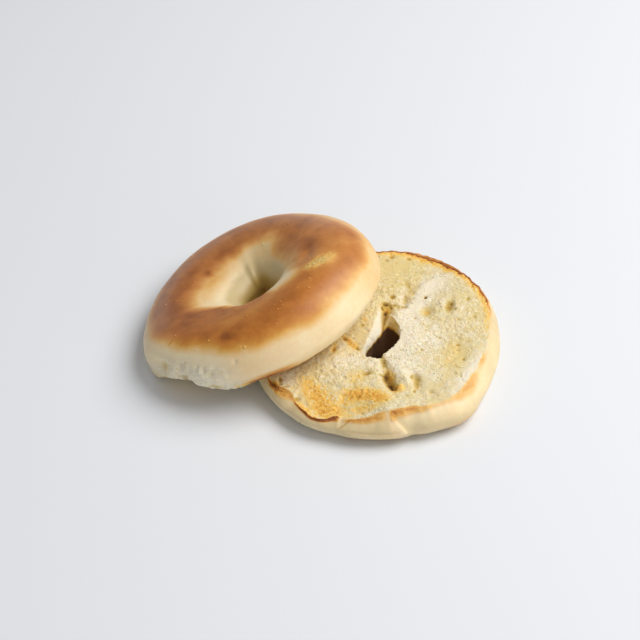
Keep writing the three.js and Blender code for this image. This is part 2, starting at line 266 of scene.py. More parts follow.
# The dark line along the rim of the bottom half: how strong it is, and how far in from the rim.
RIM_TOAST = ((0, .05), (8, .3), (15, .75), (24, 1.3), (45, 1.4), (70, 1.2), (90, 1), (110, .5),
             (180, .4), (205, .3), (212, 1.2), (217, 1), (221, .5), (225, .6), (230, 1.1),
             (238, 1.35), (250, 1.45), (252, .1), (257, .4), (262, .5), (268, .45), (271, .1),
             (274, .36), (280, .4), (290, .36), (297, .25), (306, .3), (312, .4), (322, .3),
             (328, .1), (334, .4), (342, .15), (350, .05))
RIM_LINE_INSET = ((0, 0), (8, .3), (20, .5), (40, .65), (65, .6), (90, .5), (110, 0), (230, 0),
                  (330, 0))
# The toasted strip just outside the rim: how strong it is, and its share of the way down.
STRIP_TOAST = ((0, .05), (12, .4), (30, .58), (60, .6), (90, .5), (120, .1), (200, .05),
               (209, .2), (213, 1.05), (217, .8), (221, .55), (225, .45), (229, .4), (236, .85),
               (249, 1.1), (252, .1), (255.5, .5), (262, .54), (270, .46),
               (272.5, .2), (273.5, .1), (274.5, .56), (281, .5), (289, .42), (295, .24),
               (301, .16), (307, .34), (315, .4), (322, .34), (327, .12), (334, .3), (341, .08),
               (350, .05))
STRIP_SHARE = ((0, .14), (40, .18), (120, .2), (208, .1), (214, .3), (219, .55), (223, .5),
               (228, .16), (240, .24), (250, .34), (256, .3),
               (262, .36), (270, .36), (275, .4), (283, .32), (290, .24), (300, .16), (308, .28),
               (317, .42), (325, .3), (333, .2), (341, .2))
# Toasted patches of the cut face: x, y, half length, half width, turn, strength.
TOAST = (
    (-25, -38, 10, 5, -52, 0.42),
    (-21, -45, 6, 4, -20, 0.3),
    (-29.5, -29, 6, 4, -59, 0.15),
    (-9, -29, 6, 4.5, 20, 0.24),
    (-6, -39, 9, 3.6, -14, 0.5),
    (0, -42.5, 5, 2.6, -20, 0.28),
    (-13, -40, 4, 4, 0, 0.2),
    (33, -14, 9, 4, -80, 0.18),
    (29, -23, 7, 4, -60, 0.12),
    (-10.8, -8.8, 6.4, 2.6, -56, 0.36),
    (5.5, 13.4, 2.8, 1.8, 88, 0.4),
    (22.8, 10.6, 3, 2, 95, 0.2),
    (-18, -13, 4, 1.6, 80, 0.35),
    (-4.4, 5.5, 5, 1.4, 80, 0.25),
    (7.8, -36.9, 2.7, 2.2, 0, 0.5),
    (15.4, -36.2, 1.8, 1.4, 0, 0.24),
    (5, -28, 4.5, 2.2, -80, 0.3),
    (-6.3, -46.5, 7, 2.4, -6, 0.3),
    (-12.4, -49, 6, 2, -10, 0.12),
    (-37, -31, 4, 2, -40, 0.1),
    (16.5, 22, 6, 2, 80, 0.18),
    (-16, 2, 8, 4, 60, 0.2),
    (-42.5, -30, 3, 1.4, -60, 0.5),
    (-31, -43, 8, 1.6, -45, 0.3),
)
# Where the pale crumb is yellower: x, y, half length, half width, turn, strength.
YELLOW = (
    (10, 38, 22, 12, 30, 0.25),
    (-10, 4, 16, 6, 60, 0.35),
    (17, 25, 9, 2.4, 75, 0.5),
    (11, 33, 10, 2, 70, 0.3),
    (13, 2, 18, 6, 75, -0.7),
    (26, 27, 10, 5, 45, -0.45),
    (40.5, -27.5, 15, 4.5, 58, -0.75),
    (22.8, 10.6, 3.4, 2.4, 95, 1.1),
    (5.9, 14.2, 3.4, 2.4, 88, 1),
    (7.8, -36.9, 2.7, 2.2, 0, 0.8),
    (12, -24, 14, 7, -30, -0.35),
    (22, -8, 10, 7, 0, -0.4),
    (20, 16.5, 6, 4, 0, -0.5),
    (-38, -24, 7, 6, 0, -0.4),
    (-30, -25, 8, 6, -50, 0.35),
    (-12, -20, 10, 5, 0, -0.2),
    (-16, -40, 7, 2, 70, -0.4),
    (31, -17, 12, 6, -75, 0.3),
    (44, 10, 14, 4, 85, 0.2),
)
# Where the knife smeared the crumb smooth: x, y, half length, half width, turn, strength.
SMEARS = (
    (42, -26, 15, 3.2, 58, 1),
    (31, -42, 10, 3, 35, 0.6),
    (27, 27, 9, 4, 45, 0.6),
    (13, 2, 12, 3, 80, 0.5),
    (0, 2, 12, 4, 68, 0.7),
    (-16, -42, 8, 2, 70, 0.5),
    (12, 40, 12, 5, 30, 0.3),
)
# Round the top half: where its brown begins on the outside and ends in the funnel, as section
# angles (0 at the widest reach, 90 at the crown, 180 in the throat), and how dark it is.
BROWN_FROM = ((0, 30), (15, 36), (30, 50), (45, 58), (60, 56), (90, 50), (165, 50), (180, 48),
              (200, 52), (212, 61), (225, 63), (240, 60), (252, 53), (265, 45), (285, 41),
              (300, 39), (315, 36), (330, 37), (345, 34))
BROWN_TO = ((0, 130), (15, 131), (30, 130), (45, 126), (60, 118), (75, 108), (90, 107), (105, 112),
            (120, 114), (135, 116), (150, 114), (165, 111), (180, 108), (195, 109), (210, 121),
            (220, 136), (285, 138), (300, 120), (315, 108), (330, 108), (345, 120))
# How far the brown fades out on the outside and in the funnel.
BROWN_SOFTNESS = 20
FUNNEL_SOFTNESS = ((0, 19), (30, 24), (60, 21), (85, 15), (125, 15), (155, 19), (195, 15),
                   (220, 11), (285, 12), (330, 16))
BROWN_DEPTH = ((0, .74), (15, .8), (30, .82), (60, .82), (90, .88), (120, .88), (150, .9),
               (180, .88), (210, .85), (240, .8), (270, .77), (300, .77), (330, .74))
# How golden the pale skin under the brown is, and how warm the brown is; below 0, how far a
# dusting and a painted sheen grey it.
LOW_GOLD = ((0, .26), (20, .3), (60, .25), (180, .15), (205, .05), (240, 0), (258, .02),
            (268, .06), (285, .08), (300, .05), (325, .05), (340, .12), (350, .22))
WARMTH = ((0, .2), (15, -.1), (30, -.5), (45, -.7), (90, -.5), (135, -.7), (165, -.9), (195, -.7),
          (212, -.1), (225, .9), (250, 1), (285, .9), (300, .75), (315, .75), (330, .5), (345, .1))
# Section angles over which the dusting and its painted sheen fade out towards the crown.
DUST_AND_SHEEN_TO = (70, 105)
# The golden band inside the crown: degrees, half width, section angles, strength.
GOLDEN_BAND = (150, 42, 119, 12, 0.33)
# The porous scar on the crown: degrees, section angle, half widths of both, strength.
SCAR_PATCHES = (
    (331, 103, 4, 5, 0.15),
    (337, 95.5, 5, 6, 0.5),
    (341, 89, 6.5, 7.5, 0.9),
    (345, 82, 6.5, 7.5, 0.9),
    (348.5, 74.5, 5, 6.5, 0.7),
)
SCAR_PALE = (318, 121, 18, 12, 0.7)
# Spots on the crust, darker or paler: degrees, section angle, half widths of both, strength.
CRUST_SPOTS = (
    (142, 110, 5, 5, 0.34),
    (256, 70, 4, 7, 0.14),
    (14, 98, 16, 7, 0.08),
    (12, 119, 14, 9, -0.2),
    (60, 132, 32, 14, 0.17),
    (219, 61, 0.9, 4.5, 0.3),
    (45, 90, 16, 9, 0.02),
    (344, 68, 7, 7, -0.12),
    (8, 78, 8, 8, -0.06),
    (200, 92, 10, 12, 0.06),
    (215, 104, 8, 7, 0.06),
    (76, 124, 22, 10, 0.1),
    (333, 118, 14, 9, 0.08),
    (288, 108, 16, 9, -0.12),
    (335, 112, 14, 10, -0.14),
    (292, 57, 6, 5, -0.1),
    (262, 96, 7, 6, -0.08),
    (233, 74, 6, 6, -0.08),
    (105, 76, 8, 5, -0.06),
    (72, 100, 10, 6, -0.1),
    (5, 62, 10, 10, -0.1),
)
# Dents in the torn wall of the top half: degrees, section angle, half widths, depth.
TORN_DENTS = (
    (216, 12, 6.5, 16, 1.9),
    (222, -4, 2.5, 9, -0.7),
    (219, 18, 1.8, 12, 0.6),
    (226, 8, 2, 10, -0.6),
    (231, 30, 2.6, 5, 0.9),
    (236, 20, 1.6, 9, 0.7),
    (240, 6, 2, 9, 0.8),
    (246, -14, 4, 5, 1.2),
    (252, -6, 2.5, 8, 0.5),
    (256, 12, 2, 10, 0.3),
)
# More lumps and dents between them, drawn at random: how many, over which degrees and section.
TORN_LUMPS = 110
TORN_SPREAD = (211, 262, -30, 28)
# Where its crumb is bare: degrees, section angle, half widths, strength.
TORN_CRUMB = (
    (238, -6, 17, 26, 1.1),
    (212, -4, 9, 14, 0.7),
    (228, 24, 10, 18, 0.6),
    (248, 18, 10, 16, 0.4),
    (257, -22, 9, 10, 0.9),
)
# Shade in its folds: degrees, section angle, half widths, strength.
TORN_SHADE = (
    (218, 16, 4.6, 14, 0.13),
    (233, -4, 2.4, 8, 0.3),
    (234, 33, 1.8, 2.6, 0.2),
    (246, -18, 5, 5, 0.24),
    (219, 12, 1.4, 10, 0.14),
)
# Blisters that stand out on the crust: degrees and section angle.
BLISTERS = ((64, 98), (297, 80), (293, 78), (268, 45), (352, 100), (62, 88), (108, 89), (91, 90),
            (271, 94), (256, 116), (298, 86), (293, 88), (236, 120), (325, 84), (246, 70),
            (337, 96), (340, 94), (341, 91), (343, 90), (344, 87), (346, 86), (346, 82), (348, 82),
            (349, 77), (351, 76), (338, 99), (344, 93), (347, 89), (351, 72), (334, 98))

# ---- Waves, places and strengths -----------------------------------------------------------
# A place round a half is (degrees, half width). A span is the two values between which
# something grows or fades.

# Uneven waves round a half: how often each one swings, and the seed that draws their strengths.
RIM_WAVES = ((23, 41, 67, 97), 3)
LIFT_WAVES = ((19, 37, 59, 83), 5)
MOUTH_WAVES = ((13, 29, 47), 8)
RIM_LINE_WAVES = ((17, 43, 71, 113), 17)
RIM_TOAST_WAVES = ((47, 79, 113), 18)
BAND_WAVES = ((41, 67, 103, 139), 31)
STRIP_WAVES = ((19, 37, 61), 29)
TOP_RIM_WAVES = ((17, 31, 53, 79), 13)
RAGGED_WAVES = ((61, 89, 127, 163), 19)
SCORCH_WAVES = ((47, 83, 127), 23)
SCAR_WAVES = ((43, 71), 15)
BROWN_WAVES = ((5, 9, 14), 21)
FINE_BROWN_WAVES = ((23, 37), 22)

# How far the bottom half's rim wanders inwards and up, and how much more at the back. Then how
# far its hole's mouth and the top half's rim wander, and where the latter is ragged.
BACK = (50, 45)
RIM_WANDER = (0.3, 0.25)
RIM_UNEVEN = (0.25, 0.3)
MOUTH_WANDER = 0.3
TOP_RIM_WANDER = 0.3
RAGGED_AT = (232, 24)

# The rim's dark line: how its inset varies, how wide it is (more further in, more on the curl),
# how patchy it is at the back and how much its waves slant, how far the toasted strip reaches
# past it, and the inset below which it runs on the rim itself.
RIM_LINE_WANDER = 0.8
RIM_LINE_WIDTH = (0.55, 0.25, 0.4)
RIM_LINE_PATCHY = 0.5
RIM_LINE_SLANT = 5
RIM_LINE_OVERLAP = 0.2
AT_THE_RIM = 0.1
# The rim is worn down beside its dark line: depth for each millimetre of inset, and width.
RIM_WEAR = (0.5, 0.8)
# The golden band at the back: width and strength, then its spots: inset, width, strength, slant.
BAND = (3.6, 0.58)
BAND_SPOTS = (1.4, 1.3, 1.3, 3)
FACE_YELLOW = 0.6
# How far in from the dark line bare crumb begins, and how far from the rim loose crumbs do.
CRUMB_START = (-0.3, 0.5)
LOOSE_START = (1, 4)

# The bottom half's hole: its golden and its steep side, and the heights under which it is painted
# dark as shade and begins to darken (each with what the steep side adds). The valleys are painted
# shade too.
HOLE_GOLD_AT = (50, 28)
HOLE_GOLD = 0.24
HOLE_STEEP_AT = (320, 62)
HOLE_DARK_FULL = (9, 3.6)
HOLE_DARK_START = (10.6, 4)
HOLE_VALLEYS = ((82, 6, 0.7), (73, 9, 0.1))
HOLE_SHADE = (1.5, 0.9)
HOLE_SMEAR = 0.85
HOLE_YELLOW = (0.15, 3)
HOLE_BROWN = 0.2
HOLE_BROWN_SPAN = (10, 11.5)
UNDERSIDE_PAINT = {"brown": 0.5, "yellow": 0.3}

# The bottom half's wall: plain colour, scorched foot, and tinted and torn places.
LOW_WALL_YELLOW = 0.52
LOW_WALL_BROWN = 0.06
FOOT_BROWN = 0.3
FOOT_HEIGHT = (0, 2.5)
SCORCH_AT = (256, 3)
SCORCH = 0.8
SCORCH_HEIGHT = (0.4, 2)
TINT_AT = (309, 9)
TINT = 0.24
TINT_HEIGHT = (4, 3)
HIGH_WALL_YELLOW = 0.54
HIGH_WALL_BROWN = 0.05
LESS_YELLOW_AT = (308, 32)
LESS_YELLOW = 0.32
LESS_YELLOW_SPAN = (0.1, 0.8)
RIM_TOAST_SPAN = (0.9, 1)
TORN_RIM_AT = (218.5, 6.5)
TORN_RIM_SPAN = (0.4, 0.7)
TORN_RIM_CRUMB = 0.9
TORN_RIM_SHADE = 0.8
TORN_RIM_SHADE_DEGREES = (212, 218)
CRUMBLY_AT = (280, 32)
CRUMBLY_SPAN = (0.1, 0.3)
CRUMBLY_CRUMB = 0.5
WALL_MARK_FADE = 4
# The toasted strip: how uneven it is and how much more at the back, slant, and where it fades.
STRIP_ROUGH = (0.35, 0.4)
STRIP_SLANT = 40
STRIP_FADE = (0.2, 1.2)

# The painted shade line in each crease: strength, degrees past the crease's line, half width.
# Then the painted shade of the seam, and how far from its ends it is full.
CREASE_SHADE = (0.24, 0.4, 0.45)
SMALL_CREASE_SHADE = (0.3, 0.3, 0.7)
SEAM_SHADE = 0.15
SEAM_ENDS = (0, 4)
# Between which heights the creases, their painted shade lines and the wedge's painted highlight
# grow to full strength.
CREASE_RISE = (4, 9)
CREASE_SHADE_RISE = (5, 9)
WEDGE_RISE = (5.5, 7.5)
# The wedge of painted highlight: heights over which it narrows, how soft its two edges are, and
# how pale it is painted.
WEDGE_NARROWS = (7, 14)
WEDGE_EDGE = (1, 0.5)
WEDGE_STOP = 0.3
WEDGE_HIGHLIGHT = 0.5

# The top half. Section angles run from -30 at the rim over 0 at the widest reach and 90 at the
# crown to 180 at the throat.
RIM_SECTION = -30
CROWN_SECTION = 90
FOLD_POWER = 3
# The unseen cut face: plain toast, and waves in it with their strength, lengths and shift.
TOP_FACE_TOAST = 0.35
TOP_FACE_WAVES = (0.3, 9, 7, 1)
TOP_FACE_YELLOW = 0.5
# Toasted lines along the top half's rim: place, span up the wall, strength.
TOASTED_LINES = (((277, 12), (0.4, 1), 1), ((305, 25), (0, 0.35), 0.45))
TOASTED_BROWN = 0.68
SCORCHED_LINE = ((273, 12), (0.34, 0.52))
SCORCHED_PATCHY = (1.2, 0.8, 30)
DENT_START = (0, 0.1)
# The torn wall's colour, and the random lumps: half widths round and up, depth, shade, seed.
TORN_YELLOW = 0.18
TORN_SMEAR = 0.25
LUMP_WIDTH = (0.8, 2.4)
LUMP_HEIGHT = (2.4, 6.5)
LUMP_DEPTH = (-0.75, 1)
LUMP_SHADE = 0.04
LUMP_SEED = 33
# The scar: how uneven it is, and what it does to each paint.
SCAR_UNEVEN = (0.9, 0.4)
SCAR_CRUMB = 0.66
SCAR_YELLOW = 0.9
# The scar's pores get painted shade.
SCAR_HOLLOW = 0.18
SCAR_FADE = 0.84
# Painted shade in the funnel, deep down, in its valley and at its throat, and its olive colour,
# which is partly painted shade too.
VALLEY_AT = (88, 20)
VALLEY = 0.18
VALLEY_SPAN = (35, 80)
FUNNEL_SHADE = 0.27
FUNNEL_SHADE_SPAN = (55, 88)
OLIVE_AT = (58, 45)
OLIVE = (0.8, 0.9)
OLIVE_SPAN = (34, 66)
THROAT_PAINT = {"brown": 0.1, "hollow": 0.5, "yellow": 0.3}
# The brown: how far its edges wander, its least value, and how much a pale patch takes away.
BROWN_WANDER = (3, 1.2)
LEAST_BROWN = 0.03
PALE_TAKES = 0.85
LOW_GOLD_SPAN = (-30, 10)

# More blisters at random: how many, over which section angles, seed, and how much paler.
MORE_BLISTERS = 26
BLISTER_SPREAD = (45, 120)
BLISTER_SEED = 4
BLISTER_BROWN = 0.85


# ---- Small helpers -------------------------------------------------------------------------

def around(knots, degrees):
    """Smooth value at each angle, from (degrees, value) knots that close on themselves."""
    at, value = np.array(knots, float).T
    at = np.concatenate([at[-2:] - 360, at, at[:2] + 360])
    value = np.concatenate([value[-2:], value, value[:2]])
    angle = np.mod(degrees, 360)
    i = np.searchsorted(at, angle, side="right") - 1
    step = at[i + 1] - at[i]
    t = (angle - at[i]) / step
    slope_in = (value[i + 1] - value[i - 1]) / (at[i + 1] - at[i - 1]) * step
    slope_out = (value[i + 2] - value[i]) / (at[i + 2] - at[i]) * step
    return ((2 * t**3 - 3 * t**2 + 1) * value[i] + (t**3 - 2 * t**2 + t) * slope_in
            + (3 * t**2 - 2 * t**3) * value[i + 1] + (t**3 - t**2) * slope_out)


def bump(offset, half_width):
    """1 in the middle, about a third at the half width and nearly 0 past twice that."""
    return np.exp(-(offset / half_width) ** 2)


def smoothstep(value, low, high):
    """0 below low, 1 above high and smooth between."""
    t = np.clip((value - low) / (high - low), 0, 1)
    return t * t * (3 - 2 * t)


def fall(value, low, high):
    """1 below low, 0 above high and smooth between."""
    return smoothstep(-value, -high, -low)


def mix(a, b, t):
    """The first value where t is 0, the second where it is 1."""
    return a + (b - a) * t


def turn_between(a, b):
    """The turn from b to a, between -180 and 180 degrees."""
    return np.mod(a - b + 180, 360) - 180


def near(degrees, place):
    """1 at a place round a half and 0 away from it. The place is (degrees, half width)."""
    at, half_width = place
    return bump(turn_between(degrees, at), half_width)


def arch(t):
    """Rises from 0 to 1 and falls back to 0."""
    return np.sqrt(np.maximum(np.sin(math.pi * t), 0))


def all_round(count):
    """The angles of the spokes of a half, as a column."""
    return np.linspace(0, 360, count, endpoint=False)[:, None]


def spoke(degrees, length, centre=(0, 0)):
    """Places at a length from a centre, as arrays that end in x and y."""
    angle = np.radians(degrees)
    return np.stack([centre[0] + length * np.cos(angle), centre[1] + length * np.sin(angle)], -1)


def lerp(a, b, t):
    """Places between two places, for each share t."""
    return a + (b - a) * t[..., None]


def shares(count, start=0.0, end=1.0, closed=True):
    """Even steps from start to end, as a row."""
    return np.linspace(start, end, count, endpoint=closed)[None, :]


def ripple(degrees, waves, seed):
    """An uneven wave round a half, between about -1 and 1. waves says how many swings it has."""
    draw = np.random.default_rng(seed)
    total = 0
    for count in waves:
        total = total + draw.uniform(0.5, 1) * np.sin(np.radians(degrees) * count
                                                      + draw.uniform(0, 2 * math.pi))
    return total / len(waves)


def patches(rows, place):
    """Sum of soft ovals given as x, y, half length, half width, turn, strength."""
    total = 0
    for x, y, half_length, half_width, turn, strength in rows:
        angle = math.radians(turn)
        dx, dy = place[..., 0] - x, place[..., 1] - y
        along = (dx * math.cos(angle) + dy * math.sin(angle)) / half_length
        across = (dy * math.cos(angle) - dx * math.sin(angle)) / half_width
        total = total + strength * np.exp(-along**2 - across**2)
    return total


def round_patches(rows, degrees, section):
    """Sum of soft ovals round a half, given as degrees, section, both half widths, strength."""
    return sum(strength * bump(turn_between(degrees, at), wide) * bump(section - middle, tall)
               for at, middle, wide, tall, strength in rows)


def pit_depth(pits, place):
    """How deep the pits are at a place."""
    return patches([row[:6] for row in pits], place)


def pit_shade(pits, place):
    """Painted shade of the pits at a place. The shade stays nearer the middle than the dip does."""
    tight = [(x, y, length * 0.75, width * 0.75, turn, shade)
             for x, y, length, width, turn, depth, shade in pits]
    return patches(tight, place)


def crumb_swell(place):
    """How high the low swells of the crumb stand at a place."""
    total = 0
    for axis, height, length, wander, wander_length in SWELLS:
        phase = wander * np.sin(place[..., 1 - axis] / wander_length)
        total = total + height * np.sin(place[..., axis] / length + phase)
    return total


def fold_depth(folds, degrees):
    """Sum of soft folds round a half, given as degrees, half width, depth."""
    return sum(depth * near(degrees, (at, half)) for at, half, depth in folds)


def smooth_path(points, count):
    """Points along a smooth curve through the given ones, from after the first to the last."""
    points = [points[0], *points, points[-1]]
    segments = len(points) - 3
    along = np.linspace(0, segments, count + 1)[1:]
    made = []
    for s in along:
        i = min(int(s), segments - 1)
        t = s - i
        p0, p1, p2, p3 = points[i:i + 4]
        made.append(0.5 * (2 * p1 + (p2 - p0) * t + (2 * p0 - 5 * p1 + 4 * p2 - p3) * t**2
                           + (3 * p1 - p0 - 3 * p2 + p3) * t**3))
    return np.stack(made, 1)


# ---- Skins ---------------------------------------------------------------------------------

# The fourth paint holds painted shade: in pits and pores (partly their own colour), creases, folds,
# the torn wall, the scar, the hole and the funnel.
PAINTS = ("crumb", "brown", "warmth", "hollow", "yellow", "loose", "smear")


class Skin:
    """A closed ring of bread, made stretch by stretch as arrays of (spokes, loops)."""

    def __init__(self):
        self.points = []
        self.paint = {name: [] for name in PAINTS}

    def add(self, place, height, **paint):
        """Adds a stretch. A paint that isn't given is 0 there."""
        height = np.broadcast_to(height, place.shape[:2])
        self.points.append(np.dstack([place, height]))
        for name in PAINTS:
            self.paint[name].append(np.broadcast_to(paint.get(name, 0.0), height.shape))

    def mesh(self, name, place_matrix):
        """The ring as a mesh in metres, put in place, with its paint as point attributes."""
        points = np.concatenate(self.points, 1)
        spokes, loops = points.shape[:2]
        flat = points.reshape(-1, 3) * MM
        flat = flat @ np.array(place_matrix.to_3x3()).T + np.array(place_matrix.translation)
        i, j = np.meshgrid(np.arange(spokes), np.arange(loops), indexing="ij")
        after, beside = (i + 1) % spokes, (j + 1) % loops
        quads = np.stack([i * loops + j, after * loops + j, after * loops + beside,
                          i * loops + beside], -1).reshape(-1, 4)
        mesh = bpy.data.meshes.new(name)
        mesh.vertices.add(len(flat))
        mesh.vertices.foreach_set("co", flat.ravel())
        mesh.loops.add(quads.size)
        mesh.loops.foreach_set("vertex_index", quads.ravel().astype(np.int32))
        mesh.polygons.add(len(quads))
        mesh.polygons.foreach_set("loop_start", np.arange(0, quads.size, 4, dtype=np.int32))
        mesh.update(calc_edges=True)
        for paint, parts in self.paint.items():
            values = np.concatenate(parts, 1).ravel().astype(np.float32)
            mesh.attributes.new(paint, "FLOAT", "POINT").data.foreach_set("value", values)
        mesh.shade_smooth()
        return mesh


# ---- Bottom half ---------------------------------------------------------------------------

def step_side(place):
    """How far a place lies to the lower side of the step across the cut face, and its ends."""
    start = np.array(STEP_FROM)
    along = np.array(STEP_TO) - start
    length = np.hypot(*along)
    along = along / length
    offset = place - start
    t = offset @ along / length
    bow = STEP_BOW * np.sin(math.pi * np.clip(t, 0, 1))
    side = along[0] * offset[..., 1] - along[1] * offset[..., 0] - bow
    beyond = np.maximum(0, t - 1) + np.maximum(0, -t)
    return side, bump(beyond, STEP_END_FADE)


def step_drop(place):
    """How far a place lies lower because of the step."""
    side, ends = step_side(place)
    lower = (1 + np.tanh(side / STEP_SOFTNESS)) / 2
    return STEP_DROP * ends * lower * bump(side - STEP_CENTRE, STEP_WIDTH)


def past_line(line, degrees, height):
    """How many degrees a place in the wall lies past a line given as (height, degrees)."""
    heights, angles = np.array(sorted(line)).T
    return turn_between(degrees, np.interp(height, heights, angles))


def crease(line, depth, degrees, height):
    """A one-sided fold in the wall: deep just past the line, level before it."""
    past = past_line(line, degrees, height)
    edge = 1 / (1 + np.exp(-past / CREASE_SHARPNESS))
    return depth * edge * np.exp(-np.maximum(past, 0) / CREASE_FADE) \
        * smoothstep(height, *CREASE_RISE)


def crease_line_shade(line, shade, degrees, height):
    """The thin line of painted shade in one crease."""
    strength, past, half_width = shade
    return strength * bump(past_line(line, degrees, height) - past, half_width)


def seam(degrees, height):
    """1 along the fine seam in the front wall and 0 away from it."""
    at, half, seam_height, half_height, _ = SEAM
    return smoothstep(half - np.abs(turn_between(degrees, at)), *SEAM_ENDS) \
        * bump(height - seam_height, half_height)


def wall_marks(degrees, height):
    """Depth of the creases and of the fine seam in the front wall."""
    return (crease(CREASE_LINE, CREASE_DEPTH, degrees, height)
            + crease(SMALL_CREASE_LINE, SMALL_CREASE_DEPTH, degrees, height)
            + SEAM[-1] * seam(degrees, height))


def crease_shade(degrees, height):
    """The thin lines of painted shade in the creases and in the seam of the front wall."""
    lines = crease_line_shade(CREASE_LINE, CREASE_SHADE, degrees, height) \
        + crease_line_shade(SMALL_CREASE_LINE, SMALL_CREASE_SHADE, degrees, height)
    return lines * smoothstep(height, *CREASE_SHADE_RISE) + SEAM_SHADE * seam(degrees, height)


def crease_highlight(degrees, height):
    """Painted highlight on the raised wedge of skin beside the deep crease, narrow at the rim."""
    past = past_line(CREASE_LINE, degrees, height)
    width = mix(CREASE_WEDGE[0], CREASE_WEDGE[1], smoothstep(height, *WEDGE_NARROWS))
    return smoothstep(past, -width - WEDGE_EDGE[0], -width + WEDGE_EDGE[1]) \
        * fall(past, -WEDGE_STOP, WEDGE_STOP) * smoothstep(height, *WEDGE_RISE)


def edge_toast(degrees, share):
    """The toasted strip under the rim, strongest at its upper edge."""
    down = (1 - share) / around(STRIP_SHARE, degrees)
    rough = STRIP_ROUGH[0] + STRIP_ROUGH[1] * near(degrees, BACK)
    uneven = 1 + rough * ripple(degrees + STRIP_SLANT * share, *STRIP_WAVES)
    return around(STRIP_TOAST, degrees) * uneven * (1 - smoothstep(down, *STRIP_FADE))


def face_paint(degrees, place, from_rim, line_inset, curl):
    """Cut face: toasted patches, a golden band at the back and a dark line along the rim."""
    back = near(degrees, BACK)
    band_width, band_strength = BAND
    spot_inset, spot_width, spot_strength, slant = BAND_SPOTS
    spots = np.maximum(ripple(degrees + slant * from_rim, *BAND_WAVES), 0)
    band = back * bump(from_rim, band_width) * band_strength \
        + back * bump(from_rim - spot_inset, spot_width) * spot_strength * spots
    plain, further, curled = RIM_LINE_WIDTH
    line_width = plain + further * line_inset + curled * curl
    line = around(RIM_TOAST, degrees) * bump(from_rim - line_inset, line_width) \
        * (1 + RIM_LINE_PATCHY * back
           * ripple(degrees + RIM_LINE_SLANT * from_rim, *RIM_TOAST_WAVES))
    edge = around(STRIP_TOAST, degrees) * fall(from_rim, 0, line_inset + RIM_LINE_OVERLAP)
    toast = patches(TOAST, place) + band
    return {"crumb": smoothstep(from_rim - line_inset, *CRUMB_START),
            "yellow": FACE_YELLOW + patches(YELLOW, place),
            "hollow": pit_shade(BOTTOM_PITS, place) + pit_shade(SMALL_PITS, place),
            "brown": np.maximum(np.maximum(toast, edge), line),
            "loose": smoothstep(from_rim, *LOOSE_START),
            "smear": patches(SMEARS, place)}


def hole_wall(degrees, mouth, mouth_height):
    """The wall of the bottom half's hole, from its mouth down to the outlet, as places."""
    throat = spoke(degrees, around(THROAT, degrees), BOTTOM_HOLE)
    outlet = spoke(degrees, OUTLET_RADIUS, OUTLET_CENTRE)
    rings = [
        np.dstack([mouth, mouth_height]),
        np.dstack([mix(mouth, throat, LIP[0]), mix(mouth_height, THROAT_HEIGHT, LIP[1])]),
        np.dstack([throat, np.full_like(degrees, THROAT_HEIGHT)]),
    ]
    for inward, rise in LOWER_WALL:
        rings.append(np.dstack([mix(throat, outlet, inward),
                                np.full_like(degrees, THROAT_HEIGHT * rise)]))
    rings.append(np.dstack([outlet, np.full_like(degrees, OUTLET_HEIGHT)]))
    return smooth_path([ring[:, 0] for ring in rings], HOLE_LOOPS)


def hole_paint(degrees, height):
    """Hole of the bottom half: pale at the mouth, then painted shade: brown and dark further down.
    """
    golden = near(degrees, HOLE_GOLD_AT) * HOLE_GOLD
    steep = near(degrees, HOLE_STEEP_AT)
    dark = fall(height, HOLE_DARK_FULL[0] + HOLE_DARK_FULL[1] * steep,
                HOLE_DARK_START[0] + HOLE_DARK_START[1] * steep)
    valley = fold_depth(HOLE_VALLEYS, degrees)
    return {"crumb": 1.0, "smear": HOLE_SMEAR,
            "hollow": HOLE_SHADE[0] * dark + HOLE_SHADE[1] * valley,
            "yellow": HOLE_YELLOW[0] + golden * HOLE_YELLOW[1],
            "brown": golden + HOLE_BROWN * fall(height, *HOLE_BROWN_SPAN)}


def low_wall_paint(degrees, height):
    """Wall under the widest reach: pale skin, browner at the foot, scorched in one place."""
    scorched = SCORCH * near(degrees, SCORCH_AT) * fall(height, *SCORCH_HEIGHT)
    tinted = TINT * near(degrees, TINT_AT) * bump(height - TINT_HEIGHT[0], TINT_HEIGHT[1])
    # Painted shade in the creases and seam, and a painted highlight on the wedge beside the crease.
    return {"hollow": crease_shade(degrees, height),
            "yellow": LOW_WALL_YELLOW - WEDGE_HIGHLIGHT * crease_highlight(degrees, height),
            "brown": LOW_WALL_BROWN + FOOT_BROWN * fall(height, *FOOT_HEIGHT) + scorched + tinted}


def high_wall_paint(degrees, height, t, line_inset):
    """Wall from the widest reach, where t is 0, up to the rim: toasted strip and torn places."""
    toasted = around(RIM_TOAST, degrees) * (line_inset < AT_THE_RIM) \
        * smoothstep(t, *RIM_TOAST_SPAN)
    torn = near(degrees, TORN_RIM_AT) * smoothstep(t, *TORN_RIM_SPAN)
    strip = edge_toast(degrees, t)
    crumbly = near(degrees, CRUMBLY_AT) * smoothstep(strip, *CRUMBLY_SPAN)
    less_yellow = LESS_YELLOW * smoothstep(t, *LESS_YELLOW_SPAN) * near(degrees, LESS_YELLOW_AT)
    # Painted highlight on the wedge beside the crease; painted shade in the creases, seam and torn
    # rim.
    return {"brown": HIGH_WALL_BROWN + np.maximum(toasted, strip),
            "yellow": HIGH_WALL_YELLOW - less_yellow
            - WEDGE_HIGHLIGHT * crease_highlight(degrees, height),
            "crumb": np.maximum(TORN_RIM_CRUMB * torn, CRUMBLY_CRUMB * crumbly),
            "hollow": TORN_RIM_SHADE * torn * fall(degrees, *TORN_RIM_SHADE_DEGREES) * t
            + crease_shade(degrees, height)}


